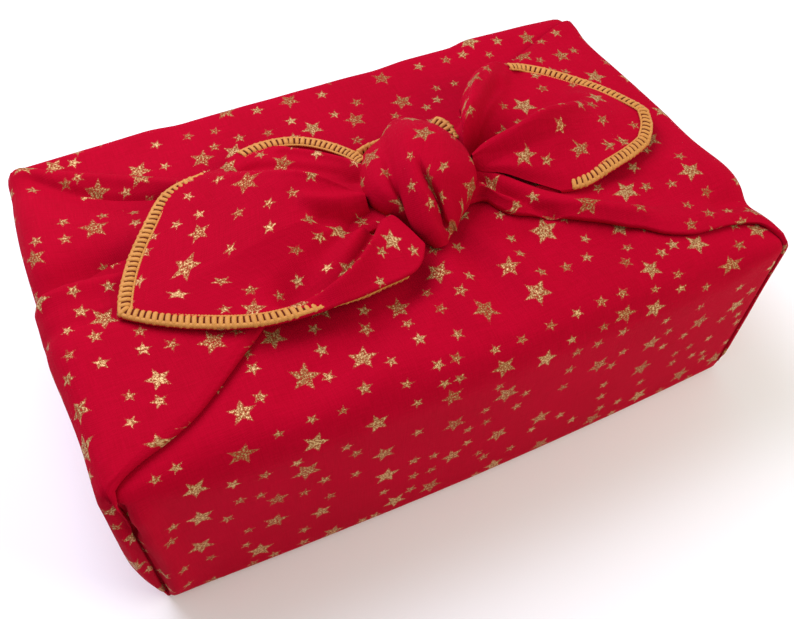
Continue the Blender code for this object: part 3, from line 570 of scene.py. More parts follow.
# ---- Building the cloth's mesh -------------------------------------------------------------------
class Cloth:
    """The cloth's stretches as they are made: points, faces, and their place in the print."""

    def __init__(self):
        self.points = []
        self.prints = []
        self.faces = []
        self.count = 0

    def add(self, points, prints, flip=False):
        """A grid of points, with the place of each in the print. flip turns its faces over."""
        rows, columns = points.shape[:2]
        index = self.count + np.arange(rows * columns).reshape(rows, columns)
        self.points.append(points.reshape(-1, 3))
        self.count += rows * columns
        faces, uvs = (np.stack((grid[:-1, :-1], grid[:-1, 1:], grid[1:, 1:], grid[1:, :-1]), 2)
                      for grid in (index, prints))
        faces = faces.reshape(-1, 4)
        uvs = uvs.reshape(-1, 4, 2)
        if flip:
            faces, uvs = faces[:, ::-1], uvs[:, ::-1]
        self.faces.append(faces)
        self.prints.append(uvs)

    def build(self, name):
        """All the stretches as one object."""
        points = settle(np.vstack(self.points))
        mesh = bpy.data.meshes.new(name)
        mesh.from_pydata(points.tolist(), [], np.vstack(self.faces).tolist())
        layer = mesh.uv_layers.new(name="print")
        layer.data.foreach_set("uv", np.vstack(self.prints).reshape(-1).astype(np.float32))
        work = bmesh.new()
        work.from_mesh(mesh)
        bmesh.ops.remove_doubles(work, verts=work.verts, dist=SAME_POINT)
        bmesh.ops.dissolve_degenerate(work, dist=SAME_POINT, edges=work.edges)
        work.to_mesh(mesh)
        work.free()
        mesh.shade_smooth()
        made = bpy.data.objects.new(name, mesh)
        bpy.context.scene.collection.objects.link(made)
        return made


# ---- The wrapped body ----------------------------------------------------------------------------
def box_lines(half, spacing):
    """Where a face of the soft box is divided: finely round the soft edges, evenly in between."""
    soft = half - EDGE_RADIUS
    turn = [half - EDGE_RADIUS * (1 - math.tan(math.radians(a))) for a in EDGE_TURNS]
    return np.array([-t for t in reversed(turn)] + list(evenly(-soft, soft, spacing)) + turn)


def add_face(cloth, axis, end, first, second):
    """One face of the wrapped body. first and second are its lines along the other two axes."""
    u, v = [a for a in range(3) if a != axis]
    local = np.empty((len(first), len(second), 3))
    local[..., axis] = end * HALF[axis]
    local[..., u] = first[:, None]
    local[..., v] = second[None, :]
    flat = local + CENTRE
    from_top = HALF[2] - local[..., 2]
    lift = waves(flat)
    if axis == 1 and end < 0:
        lift = lift + crease_lift(CREASES["body"], local[..., 0], -HALF[1] - from_top)
    elif axis == 2 and end > 0:
        lift = lift + crease_lift(CREASES["body"], local[..., 0], local[..., 1])
    points = on_parcel(flat, lift)
    if axis == 2:
        prints = local[..., :2] + (0.0 if end > 0 else UNDERSIDE_PRINT)
    elif axis == 1:
        prints = np.stack((local[..., 0], end * (HALF[1] + from_top)), -1)
    else:
        prints = np.stack((end * (HALF[0] + from_top), local[..., 1]), -1)
    cloth.add(points, prints + PRINT_FROM["body"], flip=(axis == 1) == (end > 0))


def add_body(cloth):
    along_x, along_y, along_z = (box_lines(h, BODY_SPACING) for h in HALF)
    for end in (-1, 1):
        add_face(cloth, 0, end, along_y, along_z)
        add_face(cloth, 1, end, along_x, along_z)
    add_face(cloth, 2, -1, along_x, along_y)
    front_edge = FLAP_EDGE_Y - FLAP_SLOT / 2
    back_edge = FLAP_EDGE_Y + FLAP_SLOT / 2
    add_face(cloth, 2, 1, along_x, np.append(along_y[along_y < front_edge - SLOT_CLEAR], front_edge))
    add_face(cloth, 2, 1, along_x, np.insert(along_y[along_y > back_edge + SLOT_CLEAR], 0, back_edge))


def add_layer(cloth, profile, half_x):
    """A hidden layer whose side view is the profile of (y, z) points."""
    path = np.array(profile)
    across = np.linspace(-half_x, half_x, FLAP_ACROSS)
    points = np.array([[(x, y, z) for x in across] for y, z in path])
    run = np.concatenate(([0], np.cumsum(np.linalg.norm(np.diff(path, axis=0), axis=1))))
    prints = np.stack(np.broadcast_arrays(across[None, :], run[:, None]), -1)
    cloth.add(points, prints + PRINT_FROM["hidden"])


def add_hidden_layers(cloth):
    """Both flaps' layers under the top, and the front wall's tucks along the end walls."""
    top = PARCEL_HEIGHT
    turn = LAYER_PITCH / 2
    back_fold = FLAP_EDGE_Y + FLAP_SLOT / 2
    add_layer(cloth, ((back_fold, top), (back_fold - turn / 2, top - turn), (back_fold, top - LAYER_PITCH),
                      (BACK_LAYER_END_Y, top - LAYER_PITCH)), FLAP_HALF_X)
    front_fold = FLAP_EDGE_Y - FLAP_SLOT / 2
    profile = [(front_fold, top), (front_fold + turn, top - LAYER_PITCH), (0.0, top - 2 * LAYER_PITCH)]
    for k in range(HIDDEN_LAYERS):
        side = 1 if k % 2 == 0 else -1
        level = top - (2 + k) * LAYER_PITCH
        profile += [(side * (FRONT_LAYER_END_Y - turn), level), (side * FRONT_LAYER_END_Y, level - turn),
                    (side * (FRONT_LAYER_END_Y - turn), level - LAYER_PITCH)]
    add_layer(cloth, profile, FLAP_HALF_X)
    for side in (-1, 1):
        for k in range(TUCKS):
            x = side * (PARCEL_LENGTH / 2 - (k + 1) * LAYER_PITCH)
            y, z = np.meshgrid(evenly(-PARCEL_WIDTH / 2, TUCK_END_Y, TUCK_SPACING),
                               evenly(TUCK_FOOT, TUCK_TOP, TUCK_SPACING), indexing="ij")
            points = np.stack((np.full_like(y, x), y, z), -1)
            cloth.add(points, points[..., 1:] + PRINT_FROM["hidden"])


# ---- Gathered end panels -------------------------------------------------------------------------
def panel_rows(folds):
    """The table's rows in between its folds, with the rows that turn under at both borders. Beside
    each: how far it is set in, how far round the border's roll it is, and how much of its lift it has."""
    table = smooth_table(folds, FOLD_STEPS) * MM
    inset = list(TUCKED_IN) + [0.0] * len(ROLL_TURNS)
    round_it = [0.0] * len(TUCKED_IN) + [1 - math.cos(math.radians(a)) for a in ROLL_TURNS]
    share = [0.0] * len(TUCKED_IN) + [(1 + math.sin(math.radians(a))) / 2 for a in ROLL_TURNS]
    ends = np.array((inset, round_it, share))
    plain = table[ROLL_STEPS:-ROLL_STEPS]
    middle = np.repeat(((0.0,), (0.0,), (1.0,)), len(plain), 1)
    back = ends[:, ::-1] * ((-1,), (-1,), (1,))
    rows = np.vstack((np.repeat(table[:1], len(inset), 0), plain, np.repeat(table[-1:], len(inset), 0)))
    return rows, np.hstack((ends, middle, back))


def panel_lift(rows, run, reach, middle):
    """How far each fold lifts the panel off the cloth below, along its way up the end and over the top."""
    top = PARCEL_HEIGHT
    knots = np.array((-PANEL_UNDER, -PANEL_UNDER / 2, 0.0, PANEL_JOINED_TO * top,
                      PANEL_PARTED_FROM * top, PANEL_FREE_FROM * top, top,
                      top + middle / 2 * reach, top + middle * reach, top + reach))
    lifts = (PANEL_UNDER_LIFT, PANEL_UNDER_LIFT, PANEL_FOOT_LIFT, PANEL_ABOVE / 2,
             PANEL_PARTING + PANEL_ABOVE, rows.wall + PANEL_ABOVE, rows.edge + PANEL_ABOVE,
             rows.quarter + PANEL_ABOVE, rows.half + PANEL_ABOVE, rows.neck + PANEL_ABOVE)
    return even_curve(run, knots, np.hstack([np.ones_like(rows.wall) * lift for lift in lifts]))


def add_panel(cloth, name, folds, side, knot_x):
    """A gathered end panel, from under the parcel up its end and over the top to the knot."""
    table, (inset, round_it, share) = panel_rows(folds)
    rows = Fold(*table.T[:, :, None])
    half_x, half_y, _ = HALF
    reach = half_x - side * knot_x
    middle = (half_x - PANEL_MID_X) / reach
    run = np.concatenate((evenly(-PANEL_UNDER, 0, WALL_SPACING)[:-1],
                          evenly(0, PARCEL_HEIGHT, WALL_SPACING)[:-1],
                          PARCEL_HEIGHT + evenly(0, reach, TOP_SPACING)))
    up = np.clip(run / PARCEL_HEIGHT, 0, 1)[None, :]
    over = np.clip((run - PARCEL_HEIGHT) / reach, 0, 1)[None, :]
    under = np.clip(-run, 0, None)[None, :]

    lift = panel_lift(rows, run, reach, middle)
    set_in = inset[:, None] + round_it[:, None] * np.maximum(lift, 0) / 2
    end = rows.end + np.where(under > 0, 0, set_in)
    widest = np.abs(end).max()

    wrap = np.maximum(0.0, -half_y - end)
    turned = CORNER_TURN_AT_FOOT + (1 - CORNER_TURN_AT_FOOT) * np.sin(math.pi / 2 * up)
    along_y = np.clip(end, -half_y, half_y)
    y_over = quad_through(over, middle, along_y, rows.mid + set_in, rows.knot + set_in)
    line_run, line_y = smooth_run(BORDER_LINES[name], CREASE_STEPS).T * MM
    moved = np.interp(run, line_run, line_y) - (y_over - set_in)[0]
    fade = 1 - smooth_step(np.arange(len(table)) / len(table), *BORDER_FADE)
    y_over = y_over + moved[None, :] * fade[:, None]
    y_under = end * (half_y - PANEL_UNDER_IN) / widest
    x = np.where(over > 0, half_x - wrap * (1 - over) - over * reach, half_x - wrap * turned)
    x = np.where(under > 0, half_x - under, x) * side
    y = np.where(over > 0, y_over, along_y)
    y = np.where(under > 0, y_under, y)
    flat = np.stack(np.broadcast_arrays(x, y, np.clip(run, 0, PARCEL_HEIGHT)[None, :]), -1)

    print_y = np.where(over > 0, y, end + 0 * over)
    lift = lift + crease_lift(CREASES[name], run[None, :], print_y)
    lift = np.where(under > 0, lift, TUCKED_LIFT + (lift - TUCKED_LIFT) * share[:, None])
    lift = lift + waves(flat + PRINT_FROM[name][0]) * share[:, None] * smooth_step(up, 0, PANEL_SMOOTH_TO)
    points = on_parcel(flat, lift)
    cloth.add(points, panel_prints(points, run, print_y) + PRINT_FROM[name], flip=side > 0)


def panel_prints(points, run, print_y):
    """The place of each point of a panel in the print, by the cloth's true length up the end and over the
    top, and across that."""
    top_edge = np.abs(run - PARCEL_HEIGHT).argmin()
    middle = np.abs(print_y[:, top_edge]).argmin()
    step = np.diff(points, axis=1)
    step[..., 1] = 0
    length = np.linalg.norm(step, axis=2)
    along = np.hstack((np.zeros((len(length), 1)), np.cumsum(length, 1)))
    along += PARCEL_HEIGHT - along[:, [top_edge]]
    way = np.concatenate((step, step[:, -1:]), 1)
    way /= np.maximum(np.linalg.norm(way, axis=2, keepdims=True), SAME_POINT)
    over = np.diff(points, axis=0)
    over -= (over * way[1:]).sum(2, keepdims=True) * way[1:]
    across = np.vstack((np.zeros_like(along[:1]), np.cumsum(np.linalg.norm(over, axis=2), 0)))
    across += print_y[[middle]] - across[[middle]]
    return np.stack((even_out(along, PRINT_ROWS), even_out(across.T, PRINT_ROWS).T), -1)


# ---- Tied ends -----------------------------------------------------------------------------------
def tail_rim(table, root):
    """The hem's outer edge, at the end of each ray."""
    angle = np.radians(table[:, 0])
    reach = table[:, 1] * MM
    return np.column_stack((root[0] + np.cos(angle) * reach, root[1] + np.sin(angle) * reach,
                            PARCEL_HEIGHT + table[:, -1] * MM))


def inward_of(rim):
    """The level direction from each point of the hem to the inside of the cloth, longer at a corner."""
    flat = rim[:, :2]
    steps = np.diff(flat, axis=0)
    steps /= np.linalg.norm(steps, axis=1)[:, None]
    sides = np.stack((-steps[:, 1], steps[:, 0]), 1)
    middle = flat.mean(0)
    if np.mean(np.sum(sides * (middle - flat[:-1]), 1)) < 0:
        sides = -sides
    first = np.vstack((sides[:1], sides))
    last = np.vstack((sides, sides[-1:]))
    join = (first + last) / (1 + np.sum(first * last, 1))[:, None]
    return np.column_stack((join, np.zeros(len(join))))


def add_tail(cloth, name, rays, root, corners):
    """A tied end: rays from its root out to the hem, and the cloth that rolls and turns under there."""
    table = smooth_table(rays, RAY_STEPS, corners)
    hem = tail_rim(table, root)
    hem = hem + inward_of(hem) * TAIL_TRIM
    heights = smooth_run(table[:, Ray._fields.index("root"):].T, RADIAL_STEPS) * MM
    heights = heights.T + PARCEL_HEIGHT + TAIL_ABOVE
    rings = heights.shape[1]
    way = hem[:, :2] - np.array(root)
    length = np.linalg.norm(way, axis=1)[:, None]
    out = way / length
    share = np.linspace(0, 1, rings)[None, :]
    radius = TAIL_ROOT_RADIUS + (length - TAIL_ROOT_RADIUS) * share
    plan = np.array(root) + out[:, None, :] * radius[..., None]
    points = np.dstack((plan, heights + crease_lift(CREASES[name], plan[..., 0], plan[..., 1])))
    points[..., 2] += waves(points + PRINT_FROM[name][0])
    step = np.linalg.norm(np.diff(points, axis=1), axis=2)
    run = even_out(TAIL_ROOT_RADIUS + np.hstack((np.zeros((len(step), 1)), np.cumsum(step, 1))), PRINT_RAYS)
    prints = out[:, None, :] * run[..., None]
    roll = []
    roll_prints = []
    outwards = np.column_stack((out, np.zeros(len(out))))
    for angle in TAIL_ROLL_TURNS:
        a = math.radians(angle)
        moved = points[:, -1] + outwards * TAIL_ROLL * math.cos(a)
        moved[:, 2] -= TAIL_ROLL * (1 - math.sin(a))
        roll.append(moved)
        roll_prints.append(prints[:, -1] + out * TAIL_ROLL * math.radians(90 - angle))
    for inset in reversed(TUCKED_IN):
        under = points[:, -1] - outwards * inset
        k = np.clip(rings - 1 - np.round(inset / step.mean(1)).astype(int), 0, rings - 1)
        under[:, 2] = points[np.arange(len(points)), k, 2] - 2 * TAIL_ROLL
        roll.append(under)
        roll_prints.append(prints[:, -1] + out * (TAIL_ROLL * math.pi + inset))
    points = np.concatenate((points, np.stack(roll, 1)), 1)
    prints = np.concatenate((prints, np.stack(roll_prints, 1)), 1)
    counter_clockwise = table[-1, 0] > table[0, 0]
    cloth.add(points, prints + PRINT_FROM[name], flip=counter_clockwise)


# ---- Knot ----------------------------------------------------------------------------------------
def true_length(points, axis, anchor):
    """The length of the mesh's lines along one axis, the same for all of them at the anchor, evened out."""
    step = np.linalg.norm(np.diff(points, axis=axis), axis=2)
    step = step if axis else step.T
    length = np.hstack((np.zeros((len(step), 1)), np.cumsum(step, 1)))
    at = int(anchor * length.shape[1])
    length += length[:, at].mean() - length[:, [at]]
    length = even_out(length, PRINT_RAYS)
    return length if axis else length.T


def add_knot(cloth):
    """The band of cloth over the knot, with the left end's root that comes out from under it."""
    rows = np.array(list(KNOT_BAND.values()), float) * MM
    count, across = rows.shape[:2]
    rows = smooth_run(rows.reshape(count, -1), KNOT_STEPS).reshape(-1, across, 3)
    columns = np.swapaxes(rows, 0, 1)
    columns = smooth_run(columns.reshape(across, -1), KNOT_STEPS).reshape(-1, rows.shape[0], 3)
    points = np.swapaxes(columns, 0, 1) + np.array((0, 0, PARCEL_HEIGHT))
    prints = np.stack((true_length(points, 1, KNOT_ANCHOR), -true_length(points, 0, KNOT_ANCHOR)), -1)
    normal = np.cross(np.gradient(points, axis=1), np.gradient(points, axis=0))
    normal /= np.linalg.norm(normal, axis=2, keepdims=True)
    lift = crease_lift(CREASES["knot"], prints[..., 0], prints[..., 1]) + waves(points)
    points = points - normal * lift[..., None]
    cloth.add(points, prints + PRINT_FROM["knot"])


# ---- Node trees ----------------------------------------------------------------------------------
def node(tree, kind, inputs=None, **settings):
    """A node of the tree with its settings; an input is another node's output or a value."""
    made = tree.nodes.new(kind)
    for name, value in settings.items():
        setattr(made, name, value)
    for socket, value in (inputs or {}).items():
        if isinstance(value, bpy.types.NodeSocket):
            tree.links.new(value, made.inputs[socket])
        else:
            made.inputs[socket].default_value = value
    return made


def maths(tree, operation, *values):
    return node(tree, "ShaderNodeMath", dict(enumerate(values)), operation=operation).outputs[0]


def vector_maths(tree, operation, *values):
    made = node(tree, "ShaderNodeVectorMath", dict(enumerate(values)), operation=operation)
    return made.outputs["Value" if operation in ("LENGTH", "DISTANCE", "DOT_PRODUCT") else "Vector"]


def blend_value(tree, share, low, high):
    return node(tree, "ShaderNodeMix", {0: share, 2: low, 3: high}, data_type="FLOAT").outputs[0]


def blend_colour(tree, share, first, second):
    return node(tree, "ShaderNodeMix", {0: share, 6: first, 7: second}, data_type="RGBA").outputs[2]


def ramp(tree, value, low, high):
    """From 0 at low to 1 at high, softly."""
    return node(tree, "ShaderNodeMapRange", {0: value, 1: low, 2: high},
                interpolation_type="SMOOTHSTEP").outputs[0]


def weighed_sum(tree, values, weights):
    """The sum of the values, each times its weight."""
    parts = [maths(tree, "MULTIPLY", value, weight) for value, weight in zip(values, weights)]
    total = parts[0]
    for part in parts[1:]:
        total = maths(tree, "ADD", total, part)
    return total


def noise_value(tree, place, scale, detail=2.0, roughness=0.5, flat=True):
    return node(tree, "ShaderNodeTexNoise",
                {"Vector": place, "Scale": scale, "Detail": detail, "Roughness": roughness},
                noise_dimensions="2D" if flat else "3D").outputs[0]


def add_bump(tree, shader, height, distance, strength):
    bump = node(tree, "ShaderNodeBump", {"Height": height, "Distance": distance, "Strength": strength})
    tree.links.new(bump.outputs[0], shader.inputs["Normal"])


def new_material(name):
    made = bpy.data.materials.new(name)
    made.use_nodes = True
    return made, made.node_tree, made.node_tree.nodes["Principled BSDF"]


def star_group():
    """Distance to the outline of a five-pointed star, less than zero inside it."""
    tree = bpy.data.node_groups.new("Five-pointed star", "ShaderNodeTree")
    for title, kind in (("Place", "NodeSocketVector"), ("Centre", "NodeSocketVector"),
                        ("Turn", "NodeSocketFloat"), ("Radius", "NodeSocketFloat"),
                        ("Notch", "NodeSocketFloat")):
        tree.interface.new_socket(title, in_out="INPUT", socket_type=kind)
    tree.interface.new_socket("Distance", in_out="OUTPUT", socket_type="NodeSocketFloat")
    given = node(tree, "NodeGroupInput").outputs
    offset = vector_maths(tree, "SUBTRACT", given["Place"], given["Centre"])
    flat = node(tree, "ShaderNodeSeparateXYZ", {0: offset}).outputs
    reach = vector_maths(tree, "LENGTH", offset)
    angle = maths(tree, "ADD", maths(tree, "ARCTAN2", flat[1], flat[0]), given["Turn"])
    sector = 2 * math.pi / STAR_TIPS
    wrapped = maths(tree, "FLOORED_MODULO", maths(tree, "ADD", angle, sector / 2), sector)
    aside = maths(tree, "ABSOLUTE", maths(tree, "SUBTRACT", wrapped, sector / 2))
    along = maths(tree, "MULTIPLY", reach, maths(tree, "COSINE", aside))
    across = maths(tree, "MULTIPLY", reach, maths(tree, "SINE", aside))
    notch = maths(tree, "MULTIPLY", given["Radius"], given["Notch"])
    notch_x = maths(tree, "MULTIPLY", notch, math.cos(sector / 2))
    notch_y = maths(tree, "MULTIPLY", notch, math.sin(sector / 2))
    fall = maths(tree, "SUBTRACT", given["Radius"], notch_x)
    length = maths(tree, "SQRT", maths(tree, "ADD", maths(tree, "MULTIPLY", fall, fall),
                                       maths(tree, "MULTIPLY", notch_y, notch_y)))
    out = maths(tree, "MULTIPLY", maths(tree, "SUBTRACT", along, given["Radius"]), notch_y)
    away = maths(tree, "MULTIPLY", across, fall)
    distance = maths(tree, "DIVIDE", maths(tree, "ADD", out, away), length)
    node(tree, "NodeGroupOutput", {0: distance})
    return tree


StarKind = namedtuple("StarKind", "pitch freedom radius share")


def scattered_stars(tree, group, place, kind, notch):
    """One size of star, one at most in each cell, none cut by its neighbour's cell. Gives how far each
    point is from its star's outline, that star's centre, whether it is printed at all, and how worn it is."""
    cells, room = (node(tree, "ShaderNodeTexVoronoi",
                        {"Vector": place, "Scale": 1 / kind.pitch, "Randomness": kind.freedom},
                        voronoi_dimensions="2D", feature=feature).outputs
                   for feature in ("F1", "N_SPHERE_RADIUS"))
    draw = node(tree, "ShaderNodeSeparateColor", {0: cells["Color"]}).outputs
    star = node(tree, "ShaderNodeGroup", node_tree=group)
    inputs = {
        "Place": place,
        "Centre": cells["Position"],
        "Turn": maths(tree, "MULTIPLY", draw[0], 2 * math.pi),
        "Radius": maths(tree, "MULTIPLY", kind.radius, blend_value(tree, draw[1], *STAR_SIZES)),
    }
    for socket, value in inputs.items():
        tree.links.new(value, star.inputs[socket])
    star.inputs["Notch"].default_value = notch
    fits = maths(tree, "GREATER_THAN", room["Radius"], kind.radius / kind.pitch)
    drawn = maths(tree, "LESS_THAN", draw[2], kind.share)
    worn = maths(tree, "FRACT", maths(tree, "MULTIPLY", draw[0], WEAR_REPEATS))
    return star.outputs["Distance"], cells["Position"], maths(tree, "MULTIPLY", fits, drawn), worn


def star_print(tree, place, settings):
    """How much foil there is at each point, and how worn its star is."""
    group = star_group()
    big_kind = StarKind(settings.big_pitch, BIG_FREEDOM, settings.big_radius, BIG_SHARE)
    small_kind = StarKind(settings.small_pitch, SMALL_FREEDOM, settings.small_radius, SMALL_SHARE)
    big, _, big_there, big_worn = scattered_stars(tree, group, place, big_kind, settings.notch)
    small, centre, small_there, small_worn = scattered_stars(tree, group, place, small_kind, settings.notch)
    _, near_centre, near_there, _ = scattered_stars(tree, group, centre, big_kind, settings.notch)
    close = maths(tree, "LESS_THAN", vector_maths(tree, "DISTANCE", centre, near_centre),
                  settings.big_radius + settings.small_radius)
    crowded = maths(tree, "MULTIPLY", near_there, close)
    small_there = maths(tree, "MULTIPLY", small_there, maths(tree, "SUBTRACT", 1.0, crowded))

    grain = noise_value(tree, place, GRAIN_SCALE)
    ragged = maths(tree, "MULTIPLY", maths(tree, "SUBTRACT", grain, 0.5), RAGGED)
    foil = worn = 0.0
    for distance, there, star_worn in ((big, big_there, big_worn), (small, small_there, small_worn)):
        inside = ramp(tree, maths(tree, "ADD", distance, ragged), OUTLINE_BLUR, -OUTLINE_BLUR)
        printed = maths(tree, "MULTIPLY", inside, there)
        foil = maths(tree, "MAXIMUM", foil, printed)
        worn = maths(tree, "MAXIMUM", worn, maths(tree, "MULTIPLY", printed, star_worn))
    return foil, worn


def uneven_threads(tree, flat):
    """The threads' unevenness, drawn out along the warp and along the weft."""
    streaks = []
    for across in (0, 1):
        scales = {across: SLUB_SCALES[0], 1 - across: SLUB_SCALES[1]}
        stretched = node(tree, "ShaderNodeCombineXYZ",
                         {k: maths(tree, "MULTIPLY", flat[k], scale) for k, scale in scales.items()})
        streaks.append(noise_value(tree, stretched.outputs[0], 1.0))
    return maths(tree, "MULTIPLY", maths(tree, "ADD", *streaks), 0.5)


def printed_cotton(settings):
    """Plain-weave red cotton with its worn gold foil."""
    made, tree, shader = new_material("printed cotton")
    place = node(tree, "ShaderNodeUVMap", uv_map="print").outputs[0]
    foil, worn = star_print(tree, place, settings)
    specks = noise_value(tree, place, SPECK_SCALE, *SPECK_DETAIL)
    lost_below = blend_value(tree, worn, *SPECKS_LOST)
    solid = ramp(tree, maths(tree, "SUBTRACT", specks, lost_below), *SPECK_BLUR)
    foil = maths(tree, "MULTIPLY", foil,
                 maths(tree, "ADD", maths(tree, "MULTIPLY", solid, 1 - FOIL_LEFT), FOIL_LEFT))

    flat = node(tree, "ShaderNodeSeparateXYZ", {0: place}).outputs
    turns = 2 * math.pi / settings.weave_pitch
    weave = maths(tree, "MULTIPLY", *(maths(tree, "SINE", maths(tree, "MULTIPLY", flat[k], turns))
                                      for k in (0, 1)))
    slub = uneven_threads(tree, flat)
    cloud = noise_value(tree, place, CLOUD_SCALE)
    tone = weighed_sum(tree, (maths(tree, "SUBTRACT", slub, SLUB_BASE), cloud, weave), TONE_WEIGHTS)
    red = blend_colour(tree, tone, (*settings.red_deep, 1.0), (*settings.red_light, 1.0))
    level = maths(tree, "SUBTRACT", specks, maths(tree, "MULTIPLY", worn, WORN_DULLER))
    gold = blend_colour(tree, ramp(tree, level, *GLITTER), (*settings.foil_deep, 1.0),
                        (*settings.foil_light, 1.0))
    tree.links.new(blend_colour(tree, foil, red, gold), shader.inputs["Base Color"])
    tree.links.new(maths(tree, "MULTIPLY", foil, FOIL_METALLIC), shader.inputs["Metallic"])
    tree.links.new(blend_value(tree, foil, CLOTH_ROUGHNESS, FOIL_ROUGHNESS), shader.inputs["Roughness"])
    height = weighed_sum(tree, (weave, slub, foil), BUMP_WEIGHTS)
    add_bump(tree, shader, height, WEAVE_BUMP, WEAVE_BUMP_STRENGTH)
    shader.inputs["Specular IOR Level"].default_value = CLOTH_SPECULAR
    shader.inputs["Sheen Weight"].default_value = SHEEN
    shader.inputs["Sheen Roughness"].default_value = SHEEN_ROUGHNESS
    shader.inputs["Sheen Tint"].default_value = SHEEN_TINT
    return made


def overlock_thread(settings):
    """Gold thread, and the core of the hem that shows between its ribs, coloured dark as painted shade where
    its stored attribute is 1.
    """
    made, tree, shader = new_material("gold overlock thread")
    place = node(tree, "ShaderNodeTexCoord").outputs["Object"]
    fine, broad = (noise_value(tree, place, scale, flat=False) for scale in THREAD_SCALES)
    tone = weighed_sum(tree, (fine, broad), THREAD_WEIGHTS)
    thread = blend_colour(tree, tone, (*settings.thread_deep, 1.0), (*settings.thread_light, 1.0))
    shaded_core = node(tree, "ShaderNodeAttribute", attribute_name="shaded_core").outputs["Fac"]
    # the marked core takes the painted shade colour in place of the thread's
    tree.links.new(blend_colour(tree, shaded_core, thread, CORE_SHADE_COLOUR), shader.inputs["Base Color"])
    tree.links.new(blend_value(tree, shaded_core, THREAD_ROUGHNESS, CORE_ROUGHNESS), shader.inputs["Roughness"])
    shader.inputs["Specular IOR Level"].default_value = THREAD_SPECULAR
    add_bump(tree, shader, fine, THREAD_BUMP, THREAD_BUMP_STRENGTH)
    return made


# ---- Overlock edging -----------------------------------------------------------------------------
def hem_line(strip, width):
    """The middle of the edging along part of a tied end's hem, and the way across it, which follows the
    cloth's slope."""
    rays, root, corners = TAILS[strip.tail]
    table = smooth_table(rays, RAY_STEPS, corners)
    names = list(rays)
    low, high = (names.index(row) * RAY_STEPS + step for row, step in (strip.first, strip.last))
    rim = tail_rim(table, root)
    inward = inward_of(rim)
    _, reach, *_, outer, hem = table.T
    inward[:, 2] += (outer - hem) / (reach / 3)
    rim = rim[low:high + 1] + np.array((0, 0, EDGING_LIFT))
    inward = inward[low:high + 1]
    at_ray = np.arange(low, high + 1) / RAY_STEPS
    way_in = width / 2
    for first, last, angle, tucked in strip.tips:
        share = smooth_step(at_ray, names.index(first), names.index(last))[:, None]
        tip = math.radians(angle) * share
        inward = inward * np.cos(tip) - np.array((0, 0, 1)) * np.sin(tip)
        way_in = way_in + tucked * share
    middle = settle(rim + inward * way_in)
    return middle, inward / np.linalg.norm(inward, axis=1)[:, None]


def hem_bit(points, way):
    """A short end of hem from its own points over the parcel's top, and the way across it."""
    middle = smooth_run(points, RAY_STEPS) * MM + np.array((0, 0, PARCEL_HEIGHT))
    inward = np.array(way) / np.linalg.norm(way)
    return middle, np.repeat(inward[None], len(middle), 0)


def guide_mesh(name, lines):
    """The hem lines as edges, with the way across the hem kept at each point."""
    points, ways = (np.vstack(part) for part in zip(*lines))
    edges = []
    start = 0
    for line, _ in lines:
        edges += [(start + k, start + k + 1) for k in range(len(line) - 1)]
        start += len(line)
    mesh = bpy.data.meshes.new(name)
    mesh.from_pydata(points.tolist(), edges, [])
    kept = mesh.attributes.new("inward", "FLOAT_VECTOR", "POINT")
    kept.data.foreach_set("vector", ways.reshape(-1).astype(np.float32))
    return mesh


